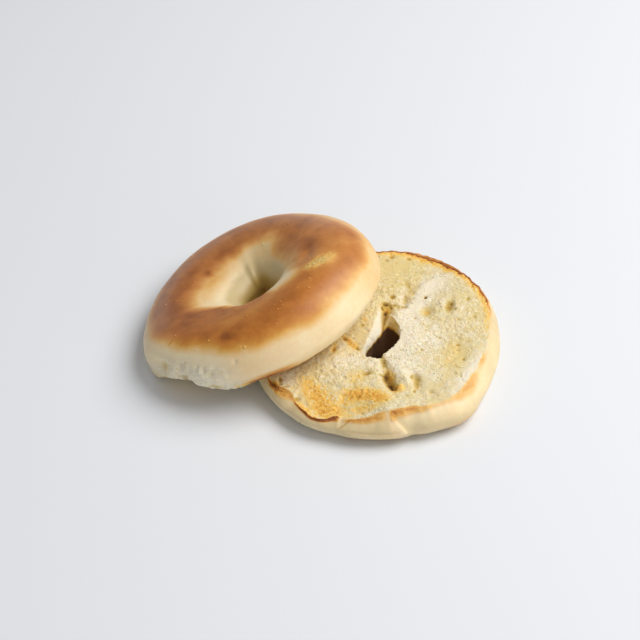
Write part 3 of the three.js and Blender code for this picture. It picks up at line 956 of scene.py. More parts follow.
def bottom_skin():
    """The bottom half: cut face, hole, underside and wall, from the rim and back to it."""
    degrees = all_round(BOTTOM_SPOKES)
    skin = Skin()
    reach = around(BOTTOM_REACH, degrees) - fold_depth(WALL_FOLDS, degrees)
    curl = smoothstep(degrees, CURL_START, CURL_FULL) * (degrees < CURL_END)
    back = near(degrees, BACK)
    inset = around(BOTTOM_RIM_INSET, degrees) \
        + (RIM_WANDER[0] + RIM_WANDER[1] * back) * ripple(degrees, *RIM_WAVES)
    rim = spoke(degrees, reach - inset + CURL_LEAN * curl)
    low_rim = around(BOTTOM_RIM_HEIGHT, degrees)
    edge_lift = CURL_LIFT * curl \
        + (RIM_UNEVEN[0] + RIM_UNEVEN[1] * back) * ripple(degrees, *LIFT_WAVES)
    mouth = spoke(degrees, around(MOUTH, degrees) + MOUTH_WANDER * ripple(degrees, *MOUTH_WAVES),
                  BOTTOM_HOLE)
    line_inset = around(RIM_LINE_INSET, degrees) \
        * (1 + RIM_LINE_WANDER * ripple(degrees, *RIM_LINE_WAVES))

    t = shares(FACE_LOOPS)
    place = lerp(rim, mouth, t)
    from_rim = np.linalg.norm(place - rim, axis=-1)
    level = mix(low_rim, MOUTH_HEIGHT, smoothstep(t, 0, RIM_BLEND)) \
        + edge_lift * bump(from_rim, EDGE_REACH)
    swell = arch(mix(SWELL_START[0], 1, t)) * crumb_swell(place)
    dips = pit_depth(BOTTOM_PITS, place) + pit_depth(SMALL_PITS, place)
    height = level + swell - step_drop(place) - dips + patches(RIDGES, place) \
        - RIM_WEAR[0] * line_inset * bump(from_rim, RIM_WEAR[1])
    skin.add(place, height, **face_paint(degrees, place, from_rim, line_inset, curl))

    wall = hole_wall(degrees, mouth, height[:, -1:])
    skin.add(wall[..., :2], wall[..., 2], **hole_paint(degrees, wall[..., 2]))

    outlet_edge = spoke(degrees, OUTLET_RADIUS + OUTLET_FLARE, OUTLET_CENTRE)
    skin.add(lerp(outlet_edge, spoke(degrees, reach - BOTTOM_EDGE_ROUND),
                  shares(UNDERSIDE_LOOPS)), 0.0, **UNDERSIDE_PAINT)

    angle = shares(LOWER_EDGE_LOOPS, 1 / LOWER_EDGE_LOOPS) * math.pi / 2
    out = reach - BOTTOM_EDGE_ROUND * (1 - np.sin(angle))
    height = BOTTOM_WIDEST_HEIGHT * (1 - np.cos(angle))
    skin.add(spoke(degrees, out - wall_marks(degrees, height)), height,
             **low_wall_paint(degrees, height))

    t = shares(UPPER_EDGE_LOOPS, 1 / UPPER_EDGE_LOOPS, 1 - 1 / UPPER_EDGE_LOOPS)
    height = mix(BOTTOM_WIDEST_HEIGHT, low_rim + edge_lift, t)
    place = lerp(spoke(degrees, reach), rim, 1 - np.cos(t * math.pi / 2)) \
        - spoke(degrees, wall_marks(degrees, height) * (1 - t**WALL_MARK_FADE))
    skin.add(place, height, **high_wall_paint(degrees, height, t, line_inset))
    return skin


# ---- Top half ------------------------------------------------------------------------------

def torn_lumps():
    """Random soft lumps (below 0) and dents of the torn wall, as rows for round_patches."""
    draw = np.random.default_rng(LUMP_SEED)
    start, end, low, high = TORN_SPREAD
    spans = ((start, end), (low, high), LUMP_WIDTH, LUMP_HEIGHT, LUMP_DEPTH)
    return [tuple(draw.uniform(*span) for span in spans) for _ in range(TORN_LUMPS)]


def scar_strength(degrees, section):
    """How strong the porous scar is at a place on the crown."""
    uneven = SCAR_UNEVEN[0] + SCAR_UNEVEN[1] * ripple(degrees + section, *SCAR_WAVES)
    return np.minimum(round_patches(SCAR_PATCHES, degrees, section), 1) * uneven


def crust_brown(degrees, section):
    """How brown the crust is at a place round the top half and along its section."""
    wander = BROWN_WANDER[0] * ripple(degrees, *BROWN_WAVES) \
        + BROWN_WANDER[1] * ripple(degrees, *FINE_BROWN_WAVES)
    after = around(FUNNEL_SOFTNESS, degrees)
    start = around(BROWN_FROM, degrees) + wander
    end = around(BROWN_TO, degrees) + wander
    inside = smoothstep(section, start - BROWN_SOFTNESS, start + BROWN_SOFTNESS) \
        * (1 - smoothstep(section, end - after, end + after))
    low = around(LOW_GOLD, degrees) * smoothstep(section, *LOW_GOLD_SPAN) \
        * (section < CROWN_SECTION)
    at, half, middle, half_section, strength = GOLDEN_BAND
    golden = strength * near(degrees, (at, half)) * bump(section - middle, half_section)
    brown = around(BROWN_DEPTH, degrees) * inside + round_patches(CRUST_SPOTS, degrees, section)
    pale = SCAR_FADE * scar_strength(degrees, section) \
        + round_patches([SCAR_PALE], degrees, section)
    return (LEAST_BROWN + np.maximum(brown, np.maximum(low, golden))) \
        * (1 - PALE_TAKES * np.minimum(pale, 1))


def crust_warmth(degrees, section):
    """Warm glaze above 0, and below 0 a dusting and painted sheen on the skin that lies low."""
    warmth = around(WARMTH, degrees)
    start, end = DUST_AND_SHEEN_TO
    return np.where(warmth < 0, warmth * (1 - smoothstep(section, start, end)), warmth)


def torn_wall(degrees, section):
    """The torn wall at a place: its random lumps, all its dents, its bare crumb and its shade."""
    lumps = round_patches(torn_lumps(), degrees, section)
    dents = round_patches(TORN_DENTS, degrees, section) + lumps
    crumb = np.minimum(round_patches(TORN_CRUMB, degrees, section), 1)
    shade = round_patches(TORN_SHADE, degrees, section) + LUMP_SHADE * np.maximum(lumps, 0)
    return dents, crumb, shade


def rim_toast_lines(degrees, t):
    """Brown along the top half's rim, t being the share of the way up the wall."""
    toasted = sum(strength * near(degrees, place) * fall(t, *span)
                  for place, span, strength in TOASTED_LINES)
    place, span = SCORCHED_LINE
    plain, patchy, slant = SCORCHED_PATCHY
    scorched = near(degrees, place) * fall(t, *span) \
        * (plain + patchy * ripple(degrees + slant * t, *SCORCH_WAVES))
    return np.maximum(TOASTED_BROWN * toasted, scorched)


def top_skin():
    """The top half: cut face, wall, crown, funnel and back to the mouth of the hole."""
    degrees = all_round(TOP_SPOKES)
    skin = Skin()
    reach = around(TOP_REACH, degrees)
    inset = around(TOP_RIM_INSET, degrees) + TOP_RIM_WANDER * ripple(degrees, *TOP_RIM_WAVES)
    ragged = near(degrees, RAGGED_AT) * ripple(degrees, *RAGGED_WAVES)
    rise = around(TOP_RIM_RISE, degrees) + RAGGED_EDGE * ragged
    radians = np.radians(degrees)
    crown_radius = CROWN_RADIUS + CROWN_SHIFT[0] * np.cos(radians) \
        + CROWN_SHIFT[1] * np.sin(radians)
    crown_height = CROWN_HEIGHT + CROWN_LEAN[0] * np.cos(radians) + CROWN_LEAN[1] * np.sin(radians)
    throat_reach = around(TOP_THROAT, degrees)
    throat = spoke(degrees, throat_reach, TOP_HOLE)
    mouth = spoke(degrees, throat_reach + TOP_MOUTH_FLARE, TOP_HOLE)

    t = shares(TOP_FACE_LOOPS)
    place = lerp(mouth, spoke(degrees, reach - inset), t)
    swell = arch(mix(SWELL_START[1], 1 - SWELL_START[1], t)) * (SWELL_LIFT + crumb_swell(place))
    height = rise * smoothstep(t, RISE_START, 1) + swell + pit_depth(TOP_PITS, place)
    strength, length, width, shift = TOP_FACE_WAVES
    waves = strength * np.sin(place[..., 0] / length) * np.sin(place[..., 1] / width + shift)
    skin.add(place, height, crumb=1.0, hollow=pit_shade(TOP_PITS, place), yellow=TOP_FACE_YELLOW,
             brown=TOP_FACE_TOAST + waves)
    face_height = height

    t = shares(TOP_WALL_LOOPS, 1 / TOP_WALL_LOOPS, 1 - 1 / TOP_WALL_LOOPS)
    height = mix(face_height[:, -1:], TOP_WIDEST_HEIGHT, t)
    section = RIM_SECTION * (1 - t)
    at, half, dent_height, half_height, depth = WALL_DENT
    dents, crumb, shade = torn_wall(degrees, section)
    dents = depth * near(degrees, (at, half)) * bump(height - dent_height, half_height) \
        + dents * smoothstep(t, *DENT_START)
    skin.add(spoke(degrees, reach - inset * (1 - t) ** 2 - dents), height, crumb=crumb,
             yellow=TORN_YELLOW, smear=TORN_SMEAR, hollow=shade,
             brown=np.maximum(rim_toast_lines(degrees, t), crust_brown(degrees, section)))

    section = shares(SKIN_LOOPS, 0, CROWN_SECTION, closed=False)
    angle = np.radians(section)
    out = mix(crown_radius, reach, np.cos(angle) ** SHOULDER)
    height = mix(TOP_WIDEST_HEIGHT, crown_height, np.sin(angle) ** CROWN_POWER)
    dents, crumb, shade = torn_wall(degrees, section)
    scar = scar_strength(degrees, section)
    skin.add(spoke(degrees, out - dents), height, crumb=np.maximum(crumb, SCAR_CRUMB * scar),
             yellow=SCAR_YELLOW * scar + TORN_YELLOW * crumb, smear=TORN_SMEAR * crumb,
             hollow=shade + SCAR_HOLLOW * scar, brown=crust_brown(degrees, section),
             warmth=crust_warmth(degrees, section))

    down = shares(FUNNEL_LOOPS, 0, 90, closed=False)
    angle = np.radians(down)
    place = lerp(throat, spoke(degrees, crown_radius), 1 - np.sin(angle))
    at, half, inward, half_reach, depth = SCAR_DENT
    scar_dent = depth * near(degrees, (at, half)) \
        * bump(crown_radius - np.linalg.norm(place, axis=-1) - inward, half_reach)
    height = mix(TOP_THROAT_HEIGHT, crown_height, np.cos(angle)) \
        - fold_depth(FUNNEL_FOLDS, degrees) * np.sin(angle) ** FOLD_POWER - scar_dent
    # Painted shade deep in the funnel and in its valley; the olive is partly painted shade too.
    shade = FUNNEL_SHADE * smoothstep(down, *FUNNEL_SHADE_SPAN) \
        + VALLEY * near(degrees, VALLEY_AT) * smoothstep(down, *VALLEY_SPAN)
    olive = OLIVE[0] * near(degrees, OLIVE_AT) + OLIVE[1] * smoothstep(down, *OLIVE_SPAN)
    section = down + CROWN_SECTION
    scar = scar_strength(degrees, section)
    skin.add(place, height, crumb=SCAR_CRUMB * scar, yellow=olive + SCAR_YELLOW * scar,
             hollow=shade + SCAR_HOLLOW * scar, brown=crust_brown(degrees, section),
             warmth=crust_warmth(degrees, section))

    t = shares(MOUTH_LOOPS)[:, :-1]
    skin.add(lerp(throat, mouth, t), mix(TOP_THROAT_HEIGHT, face_height[:, :1], t),
             **THROAT_PAINT)
    return skin


# ---- Node trees ----------------------------------------------------------------------------

class Wire:
    """An output of a node. Sums, differences, products and powers of it add Math nodes."""

    def __init__(self, graph, socket):
        self.graph = graph
        self.socket = socket

    def __add__(self, other):
        return self.graph.math("ADD", self, other)

    def __sub__(self, other):
        return self.graph.math("SUBTRACT", self, other)

    def __rsub__(self, other):
        return self.graph.math("SUBTRACT", other, self)

    def __mul__(self, other):
        return self.graph.math("MULTIPLY", self, other)

    def __truediv__(self, other):
        return self.graph.math("DIVIDE", self, other)

    def __rtruediv__(self, other):
        return self.graph.math("DIVIDE", other, self)

    def __pow__(self, other):
        return self.graph.math("POWER", self, other)

    __radd__ = __add__
    __rmul__ = __mul__


class Graph:
    """A node tree, shader or geometry, that nodes are added to by one method."""

    def __init__(self, tree):
        self.tree = tree

    def add(self, kind, settings=None, sockets=None, output=0):
        """Adds a node, makes its settings, then fills its sockets. Returns one output."""
        node = self.tree.nodes.new(kind)
        for name, value in (settings or {}).items():
            if name == "stops":
                self.set_stops(node.color_ramp, value)
            else:
                setattr(node, name, value)
        for name, value in (sockets or {}).items():
            if isinstance(value, Wire):
                self.tree.links.new(value.socket, node.inputs[name])
            else:
                node.inputs[name].default_value = value
        return Wire(self, node.outputs[output]) if node.outputs else None

    @staticmethod
    def set_stops(ramp, stops):
        while len(ramp.elements) < len(stops):
            ramp.elements.new(1)
        for element, (position, colour) in zip(ramp.elements, stops):
            element.position = position
            element.color = colour

    def math(self, operation, first, second=0.0):
        return self.add("ShaderNodeMath", {"operation": operation}, {0: first, 1: second})

    def step(self, value, low, high):
        """0 below low, 1 above high and smooth between."""
        return self.add("ShaderNodeMapRange", {"interpolation_type": "SMOOTHSTEP"},
                        {"Value": value, "From Min": low, "From Max": high})

    def noise(self, place, size, detail, roughness):
        """Soft noise between 0 and 1 whose lumps are about size metres across."""
        return self.add("ShaderNodeTexNoise", None, {
            "Vector": place, "Scale": 1 / size, "Detail": detail, "Roughness": roughness})

    def blend(self, factor, first, second, kind="MIX"):
        """A colour between two colours."""
        return self.add("ShaderNodeMix", {"data_type": "RGBA", "blend_type": kind},
                        {0: factor, 6: first, 7: second}, 2)

    def multiply(self, factor, colour, glass):
        """A colour as seen through tinted glass, which tints it as far as the factor says."""
        return self.blend(factor, colour, glass, "MULTIPLY")

    def ramp(self, value, positions, colours):
        """A colour read off a row of colours at the given positions."""
        stops = list(zip(positions, colours))
        return self.add("ShaderNodeValToRGB", {"stops": stops}, {0: value})


def swing(noise, strength):
    """A noise turned into one that swings about 0, half the strength either way."""
    return (noise - 0.5) * strength


def tint(red, green, blue):
    """A linear colour with alpha from the usual 0 to 255 values."""
    values = [channel / 255 for channel in (red, green, blue)]
    return (*[v / 12.92 if v <= 0.04045 else ((v + 0.055) / 1.055) ** 2.4 for v in values], 1.0)


# ---- Bread material ------------------------------------------------------------------------

# Noises of the bread: size in millimetres, detail, roughness. The fine one is drawn out.
NOISES = {
    "fine": (0.7, 2, 0.7),
    "grain": (2.2, 4, 0.6),
    "blotch": (9, 3, 0.55),
    "broad": (24, 2, 0.5),
    "damp": (3.4, 3, 0.6),
    "flour": (1.6, 2, 0.6),
    "grit": (1.25, 2, 0.7),
}
FINE_STRETCH = (1.4, 0.85, 1.0)
# Skin: how far each noise swings its brown, the brown at each colour, and the spans of paint
# over which it is mottled, glazed, greyed by a dusting and painted sheen, and dull.
SKIN_SWING = {"broad": 0.24, "fine": 0.12, "grain": 0.1}
MOTTLE = 0.5
MOTTLE_SPAN = (0.05, 0.5)
SKIN_STOPS = (0.04, 0.2, 0.36, 0.56, 0.78, 1)
GLAZE_SPAN = (0.15, 0.6)
DUST_AND_SHEEN_SPAN = (0, -1)
DUST_AND_SHEEN = (0.1, 0.4)
DULL_SWING = 0.6
DULL_SPAN = (0.2, 0.8)
DULL_BROWN_SPAN = (0.4, 0.05)
# Crumb: how much a smear calms it, how far each noise swings its yellow and its toast, and
# the spans over which it is yellow, flecked, speckled and toasted.
SMEAR_CALM = 0.75
YELLOW_DAMP = 1.1
YELLOW_BLOTCH = 0.6
YELLOW_FLOUR = 1.2
YELLOW_SPAN = (0.1, 0.9)
# Flecks and specks follow the fine relief: partly own tone, partly painted highlight and shade.
FLECK_SPAN = (0.52, 0.64)
SPECKLE_SPAN = (0.48, 0.36)
FLECK_STRENGTH = 0.8
TOAST_GRIT = (2.7, 0.35)
TOAST_FINE = 0.8
TOAST_DAMP = 0.5
TOAST_SWING_SPAN = (0.05, 0.4)
TOAST_STOPS = (0, 0.26, 0.55, 0.82, 1)
TOAST_SPAN = (0.03, 0.32)
# Painted shade of pits and pores: how uneven it is, and the spans over which it is shallow, deep
# and darkest.
PIT_UNEVEN = 1.6
SHALLOW_SPAN = (0.03, 0.34)
PIT_SPAN = (0.3, 0.75)
DEEPEST_SHADE_SPAN = (0.7, 1.25)
MATT_SPAN = (0.1, 0.5)
# Fine relief in the normals: fine and flour noise on crumb, fine and grain noise on skin.
CRUMB_RELIEF = (0.22, 0.5)
SKIN_RELIEF = (0.04, 0.05)
SPECULAR = 0.5
LIGHT_INSIDE = 0.3
LIGHT_INSIDE_COLOURS = (1.0, 0.65, 0.35)
LIGHT_INSIDE_DEPTH = 1.5 * MM


def skin_colour(g, paint, noise, crust):
    """Baked skin, cream to burnt, with a glaze, a dusting and painted sheen, and dull low places.
    """
    brown = paint["brown"] + swing(noise["blotch"], MOTTLE) * g.step(paint["brown"], *MOTTLE_SPAN)
    for word, strength in SKIN_SWING.items():
        brown = brown + swing(noise[word], strength)
    baked = g.ramp(brown, SKIN_STOPS, (crust.cream, crust.straw, crust.golden, crust.tan,
                                       crust.brown, crust.burnt))
    glazed = g.multiply(paint["warmth"] * g.step(brown, *GLAZE_SPAN), baked, crust.amber)
    # The dusting is also a painted sheen: it greys the brown where the warmth is below 0.
    dust_and_sheen = g.step(paint["warmth"], *DUST_AND_SHEEN_SPAN) * (DUST_AND_SHEEN[0] + noise["grain"] * DUST_AND_SHEEN[1])
    # Dull: a duller colour where the yellow paint is high; in the funnel it is painted shade.
    dull = g.step(paint["yellow"] + swing(noise["blotch"], DULL_SWING), *DULL_SPAN) \
        * g.step(brown, *DULL_BROWN_SPAN)
    return g.blend(dull, g.blend(dust_and_sheen, glazed, crust.dust_and_sheen), crust.dull)


def crumb_colour(g, paint, noise, coarse, crumb):
    """Torn crumb: pale to yellow with flecks and fine pores, and golden to burnt by its toast.

    The flecks and specks follow the fine relief: partly the crumb's own tone, partly painted
    highlight on its high places and painted shade in its low ones.
    """
    yellow = paint["yellow"] + swing(noise["damp"], YELLOW_DAMP) * coarse \
        + swing(noise["blotch"], YELLOW_BLOTCH) + swing(noise["flour"], YELLOW_FLOUR) * coarse
    pale = g.blend(g.step(yellow, *YELLOW_SPAN), crumb.pale, crumb.yellow)
    texture = 0.5 + (noise["fine"] * 0.5 + noise["flour"] * 0.5 - 0.5) * coarse
    flecked = g.blend(g.step(texture, *FLECK_SPAN) * FLECK_STRENGTH, pale, crumb.fleck)
    speckled = g.blend(g.step(texture, *SPECKLE_SPAN) * FLECK_STRENGTH, flecked, crumb.shade)
    lively = g.step(paint["brown"], *TOAST_SWING_SPAN)
    toasted = paint["brown"] * (noise["grit"] * TOAST_GRIT[0] - TOAST_GRIT[1]) \
        + swing(noise["fine"], -TOAST_FINE) * lively + swing(noise["damp"], TOAST_DAMP) * lively
    toast = g.ramp(toasted, TOAST_STOPS, (crumb.yellow, crumb.golden, crumb.toast, crumb.brown,
                                          crumb.burnt))
    return g.blend(g.step(toasted, *TOAST_SPAN), speckled, toast)


def bread_material(name, crumb, crust):
    """Bread whose colour follows the mesh's paint: torn crumb, baked skin, pits and toast."""
    material = bpy.data.materials.new(name)
    material.use_nodes = True
    g = Graph(material.node_tree)
    place = g.add("ShaderNodeTexCoord", None, None, "Object")
    drawn = g.add("ShaderNodeVectorMath", {"operation": "MULTIPLY"}, {0: place, 1: FINE_STRETCH})
    noise = {word: g.noise(drawn if word == "fine" else place, size * MM, detail, roughness)
             for word, (size, detail, roughness) in NOISES.items()}
    paint = {word: g.add("ShaderNodeAttribute", {"attribute_name": word}, None, "Fac")
             for word in ("crumb", "brown", "warmth", "hollow", "yellow", "smear")}
    coarse = 1 - paint["smear"] * SMEAR_CALM

    bread = g.blend(paint["crumb"], skin_colour(g, paint, noise, crust),
                    crumb_colour(g, paint, noise, coarse, crumb))
    # Painted shade: the shade paint tints shallow pores, darkens pits and goes near black deep in
    # the hole.
    depth = paint["hollow"] * (1 + paint["crumb"] * (noise["fine"] + noise["flour"] - 1)
                               * PIT_UNEVEN * coarse)
    shallow = g.multiply(g.step(depth, *SHALLOW_SPAN), bread, crumb.shallow)
    deep = g.blend(g.step(depth, *PIT_SPAN), shallow, crumb.pit)
    colour = g.blend(g.step(depth, *DEEPEST_SHADE_SPAN), deep, crumb.deepest_shade)

    matt = g.math("MAXIMUM", paint["crumb"], g.step(paint["hollow"], *MATT_SPAN))
    roughness = matt * (crumb.roughness - crust.roughness) + crust.roughness
    relief = paint["crumb"] \
        * (noise["fine"] * CRUMB_RELIEF[0] + noise["flour"] * CRUMB_RELIEF[1]) * coarse \
        + (1 - paint["crumb"]) \
        * (noise["fine"] * SKIN_RELIEF[0] + noise["grain"] * SKIN_RELIEF[1])
    normal = g.add("ShaderNodeBump", None, {"Strength": 1.0, "Distance": MM, "Height": relief})

    shader = material.node_tree.nodes["Principled BSDF"]
    for socket, wire in (("Base Color", colour), ("Roughness", roughness), ("Normal", normal)):
        material.node_tree.links.new(wire.socket, shader.inputs[socket])
    for socket, value in (("Specular IOR Level", SPECULAR), ("Subsurface Weight", LIGHT_INSIDE),
                          ("Subsurface Radius", LIGHT_INSIDE_COLOURS),
                          ("Subsurface Scale", LIGHT_INSIDE_DEPTH)):
        shader.inputs[socket].default_value = value
    return material


# ---- Geometry trees ------------------------------------------------------------------------

FLOAT = "NodeSocketFloat"
# Pores: spacing, radius and depth as shares of the tree's inputs, and how many cells stay shut.
PORE_FAMILIES = (
    (1.0, 0.30, 0.5, 0.45),
    (2.3, 0.22, 0.8, 0.5),
    (5.2, 0.15, 1.3, 0.45),
)
# A pore's radius is the first share of its family's, plus at most the second.
PORE_WIDTH = (0.6, 0.8)
# How much painted shade a pore adds, for each share of its depth.
PORE_SHADE = 0.3
# Noises of the relief: size in metres, detail, roughness.
CALM_NOISE = (9 * MM, 2, 0.5)
TORN_NOISE = (2.6 * MM, 5, 0.65)
LONG_WAVES = (14 * MM, 2, 0.5)
SHORT_WAVES = (3 * MM, 2, 0.5)
CALM_SPAN = (0.5, 0.68)
CALM_SMEAR = 0.55
SMEAR_FLATTENS = 0.8
# A full swing goes from -1 to 1, so its input is the height of its highest lumps.
FULL_SWING = 2
SHORT_SWING = 0.2
SEED_SHIFT = 1.7
# Loose crumbs: where they lie thick, how many lie elsewhere, and the range of their sizes.
PATCHY_NOISE = (7 * MM, 2, 0.5)
PATCHY_SPAN = (0.42, 0.68)
PATCHY_LEAST = 0.15
LUMP_SIZES = (0.35, 1.0)
LUMP_NOISE = (0.5 * MM, 1, 0.5)
LUMP_DENT = 1.6
BLISTER_SIZES = (0.45, 1.0)


def new_geometry_tree(name, inputs):
    """An empty geometry tree with named inputs, given as {name: (socket type, default)}."""
    tree = bpy.data.node_groups.new(name, "GeometryNodeTree")
    tree.interface.new_socket("Geometry", in_out="INPUT", socket_type="NodeSocketGeometry")
    for word, (kind, default) in inputs.items():
        socket = tree.interface.new_socket(word, in_out="INPUT", socket_type=kind)
        if default is not None:
            socket.default_value = default
    tree.interface.new_socket("Geometry", in_out="OUTPUT", socket_type="NodeSocketGeometry")
    return tree


def finish_tree(g, geometry, material):
    """Makes instances real, gives the result its material and puts it out of the tree."""
    whole = g.add("GeometryNodeRealizeInstances", None, {"Geometry": geometry})
    finished = g.add("GeometryNodeSetMaterial", None, {"Geometry": whole, "Material": material})
    g.add("NodeGroupOutput", None, {"Geometry": finished})


def given_in(graph):
    """Reads the tree's own inputs by name."""
    return lambda word: graph.add("NodeGroupInput", None, None, word)


def painted_in(graph):
    """Reads the mesh's paint by name."""
    return lambda word: graph.add("GeometryNodeInputNamedAttribute", {"data_type": "FLOAT"},
                                  {"Name": word})


def apply_tree(piece, tree, values):
    """Runs a geometry tree on a piece with the given inputs and keeps the result as its mesh."""
    modifier = piece.modifiers.new(tree.name, "NODES")
    modifier.node_group = tree
    for item in tree.interface.items_tree:
        if item.in_out == "INPUT" and item.name in values:
            modifier[item.identifier] = values[item.name]
    result = piece.evaluated_get(bpy.context.evaluated_depsgraph_get())
    mesh = bpy.data.meshes.new_from_object(result)
    piece.modifiers.remove(modifier)
    mesh.name = piece.name
    piece.data = mesh
    return piece


def relief_tree():
    """Moves the skin along its normals: pores and torn roughness on crumb, faint waves on crust.

    It also adds painted shade in the pores to the mesh's painted shade.
    """
    tree = new_geometry_tree("bread relief", {
        "Pore Spacing": (FLOAT, 1.7 * MM),
        "Pore Depth": (FLOAT, 0.6 * MM),
        "Crumb Roughness": (FLOAT, 0.5 * MM),
        "Crust Waviness": (FLOAT, 0.3 * MM),
        "Seed": (FLOAT, 0.0),
        "Material": ("NodeSocketMaterial", None),
    })
    g = Graph(tree)
    given, painted = given_in(g), painted_in(g)
    crumb = painted("crumb")
    here = g.add("GeometryNodeInputPosition")
    shift = g.add("ShaderNodeCombineXYZ", None,
                  {0: given("Seed"), 1: given("Seed") * SEED_SHIFT})
    place = g.add("ShaderNodeVectorMath", {"operation": "ADD"}, {0: here, 1: shift})

    pores = 0.0
    shade = 0.0
    for spacing, radius, depth, shut in PORE_FAMILIES:
        cells = {"Vector": place, "Scale": 1 / (given("Pore Spacing") * spacing)}
        distance = g.add("ShaderNodeTexVoronoi", None, cells, "Distance")
        chance = g.add("ShaderNodeTexVoronoi", None, cells, "Color")
        draw = g.add("ShaderNodeSeparateXYZ", None, {0: chance}, 0)
        width = g.add("ShaderNodeSeparateXYZ", None, {0: chance}, 1)
        reach = (PORE_WIDTH[0] + width * PORE_WIDTH[1]) * radius
        dip = g.math("MAXIMUM", 1 - (distance / reach) ** 2, 0.0)
        dip = dip * g.math("GREATER_THAN", draw, shut)
        pores = dip * given("Pore Depth") * depth + pores
        shade = dip * (PORE_SHADE * depth) + shade

    calm = g.step(g.noise(place, *CALM_NOISE), *CALM_SPAN) * CALM_SMEAR + painted("smear")
    smear = g.math("MINIMUM", calm, 1.0)
    torn = (swing(g.noise(place, *TORN_NOISE), FULL_SWING) * given("Crumb Roughness") - pores) \
        * (1 - smear * SMEAR_FLATTENS)
    waves = swing(g.noise(place, *LONG_WAVES), FULL_SWING) * given("Crust Waviness") \
        + swing(g.noise(place, *SHORT_WAVES), SHORT_SWING) * given("Crust Waviness")
    offset = crumb * torn + (1 - crumb) * waves
    along = g.add("ShaderNodeVectorMath", {"operation": "SCALE"},
                  {0: g.add("GeometryNodeInputNormal"), "Scale": offset})
    stored = g.add("GeometryNodeSetPosition", None,
                   {"Geometry": given("Geometry"), "Offset": along})
    # The pores' painted shade joins the painted shade of the mesh.
    hollow = painted("hollow") + crumb * shade * (1 - smear)
    for word, value in (("hollow", hollow), ("smear", smear)):
        stored = g.add("GeometryNodeStoreNamedAttribute",
                       {"data_type": "FLOAT", "domain": "POINT"},
                       {"Geometry": stored, "Name": word, "Value": value})
    finish_tree(g, stored, given("Material"))
    return tree


def scatter_tree():
    """Scatters small lumps over the loose crumb of a piece."""
    tree = new_geometry_tree("crumb scatter", {
        "Lump Radius": (FLOAT, 0.4 * MM),
        "Lumps per Square Metre": (FLOAT, 100000.0),
        "Seed": ("NodeSocketInt", 7),
        "Material": ("NodeSocketMaterial", None),
    })
    g = Graph(tree)
    given, painted = given_in(g), painted_in(g)
    patchy = g.step(g.noise(g.add("GeometryNodeInputPosition"), *PATCHY_NOISE), *PATCHY_SPAN)
    density = given("Lumps per Square Metre") * painted("loose") * (PATCHY_LEAST + patchy)
    points = g.add("GeometryNodeDistributePointsOnFaces", {"distribute_method": "RANDOM"}, {
        "Mesh": given("Geometry"), "Density": density, "Seed": given("Seed")})
    turn = g.add("FunctionNodeRandomValue", {"data_type": "FLOAT_VECTOR"},
                 {1: (math.tau, math.tau, math.tau), "Seed": given("Seed")}, 0)
    lumps = g.add("GeometryNodeInstanceOnPoints", None, {
        "Points": points, "Instance": lump(g, given("Lump Radius")), "Rotation": turn,
        "Scale": random_size(g, LUMP_SIZES, given("Seed"))})
    finish_tree(g, lumps, given("Material"))
    return tree


def random_size(g, sizes, seed):
    """A size for each point, drawn between the smallest and the largest."""
    return g.add("FunctionNodeRandomValue", {"data_type": "FLOAT"},
                 {2: sizes[0], 3: sizes[1], "Seed": seed}, 1)


def lump(g, radius):
    """An uneven little ball."""
    ball = g.add("GeometryNodeMeshIcoSphere", None, {"Radius": radius, "Subdivisions": 2})
    here = g.add("GeometryNodeInputPosition")
    dent = swing(g.noise(here, *LUMP_NOISE), LUMP_DENT)
    shift = g.add("ShaderNodeVectorMath", {"operation": "SCALE"}, {0: here, "Scale": dent})
    return g.add("GeometryNodeSetPosition", None, {"Geometry": ball, "Offset": shift})


def blister_tree():
    """Puts a low dome on every given point, flat against the skin."""
    tree = new_geometry_tree("crust blisters", {
        "Blister Radius": (FLOAT, 0.7 * MM),
        "Blister Height": (FLOAT, 0.35 * MM),
        "Seed": ("NodeSocketInt", 11),
        "Material": ("NodeSocketMaterial", None),
    })
    g = Graph(tree)
    given = given_in(g)
    facing = g.add("GeometryNodeInputNamedAttribute", {"data_type": "FLOAT_VECTOR"},
                   {"Name": "facing"})
    turn = g.add("FunctionNodeAlignRotationToVector", {"axis": "Z"}, {"Vector": facing})
    radius = given("Blister Radius")
    ball = g.add("GeometryNodeMeshIcoSphere", None, {"Radius": radius, "Subdivisions": 3})
    squash = g.add("ShaderNodeCombineXYZ", None,
                   {0: 1.0, 1: 1.0, 2: given("Blister Height") / radius})
    dome = g.add("GeometryNodeTransform", None, {"Geometry": ball, "Scale": squash})
    domes = g.add("GeometryNodeInstanceOnPoints", None, {
        "Points": given("Geometry"), "Instance": dome, "Rotation": turn,
        "Scale": random_size(g, BLISTER_SIZES, given("Seed"))})
    finish_tree(g, domes, given("Material"))
    return tree


# ---- Settings ------------------------------------------------------------------------------

def colour_setting(name, description, *channels):
    """A colour, given by its usual 0 to 255 values."""
    return bpy.props.FloatVectorProperty(name=name, description=description, subtype="COLOR",
                                         size=4, default=tint(*channels), min=0, max=1)


def length_setting(name, description, default, low, high):
    """A length, given in millimetres."""
    return bpy.props.FloatProperty(name=name, description=description, unit="LENGTH",
                                   default=default * MM, min=low * MM, max=high * MM)


def share_setting(name, description, default):
    """A share between 0 and 1."""
    return bpy.props.FloatProperty(name=name, description=description, subtype="FACTOR",
                                   default=default, min=0, max=1)


def power_setting(name, description, default):
    """The power of a light, in watts."""
    return bpy.props.FloatProperty(name=name, description=description, unit="POWER",
                                   default=default, min=0)


def angle_setting(name, description, degrees):
    """An angle, given in degrees."""
    return bpy.props.FloatProperty(name=name, description=description, subtype="ANGLE",
                                   default=math.radians(degrees))


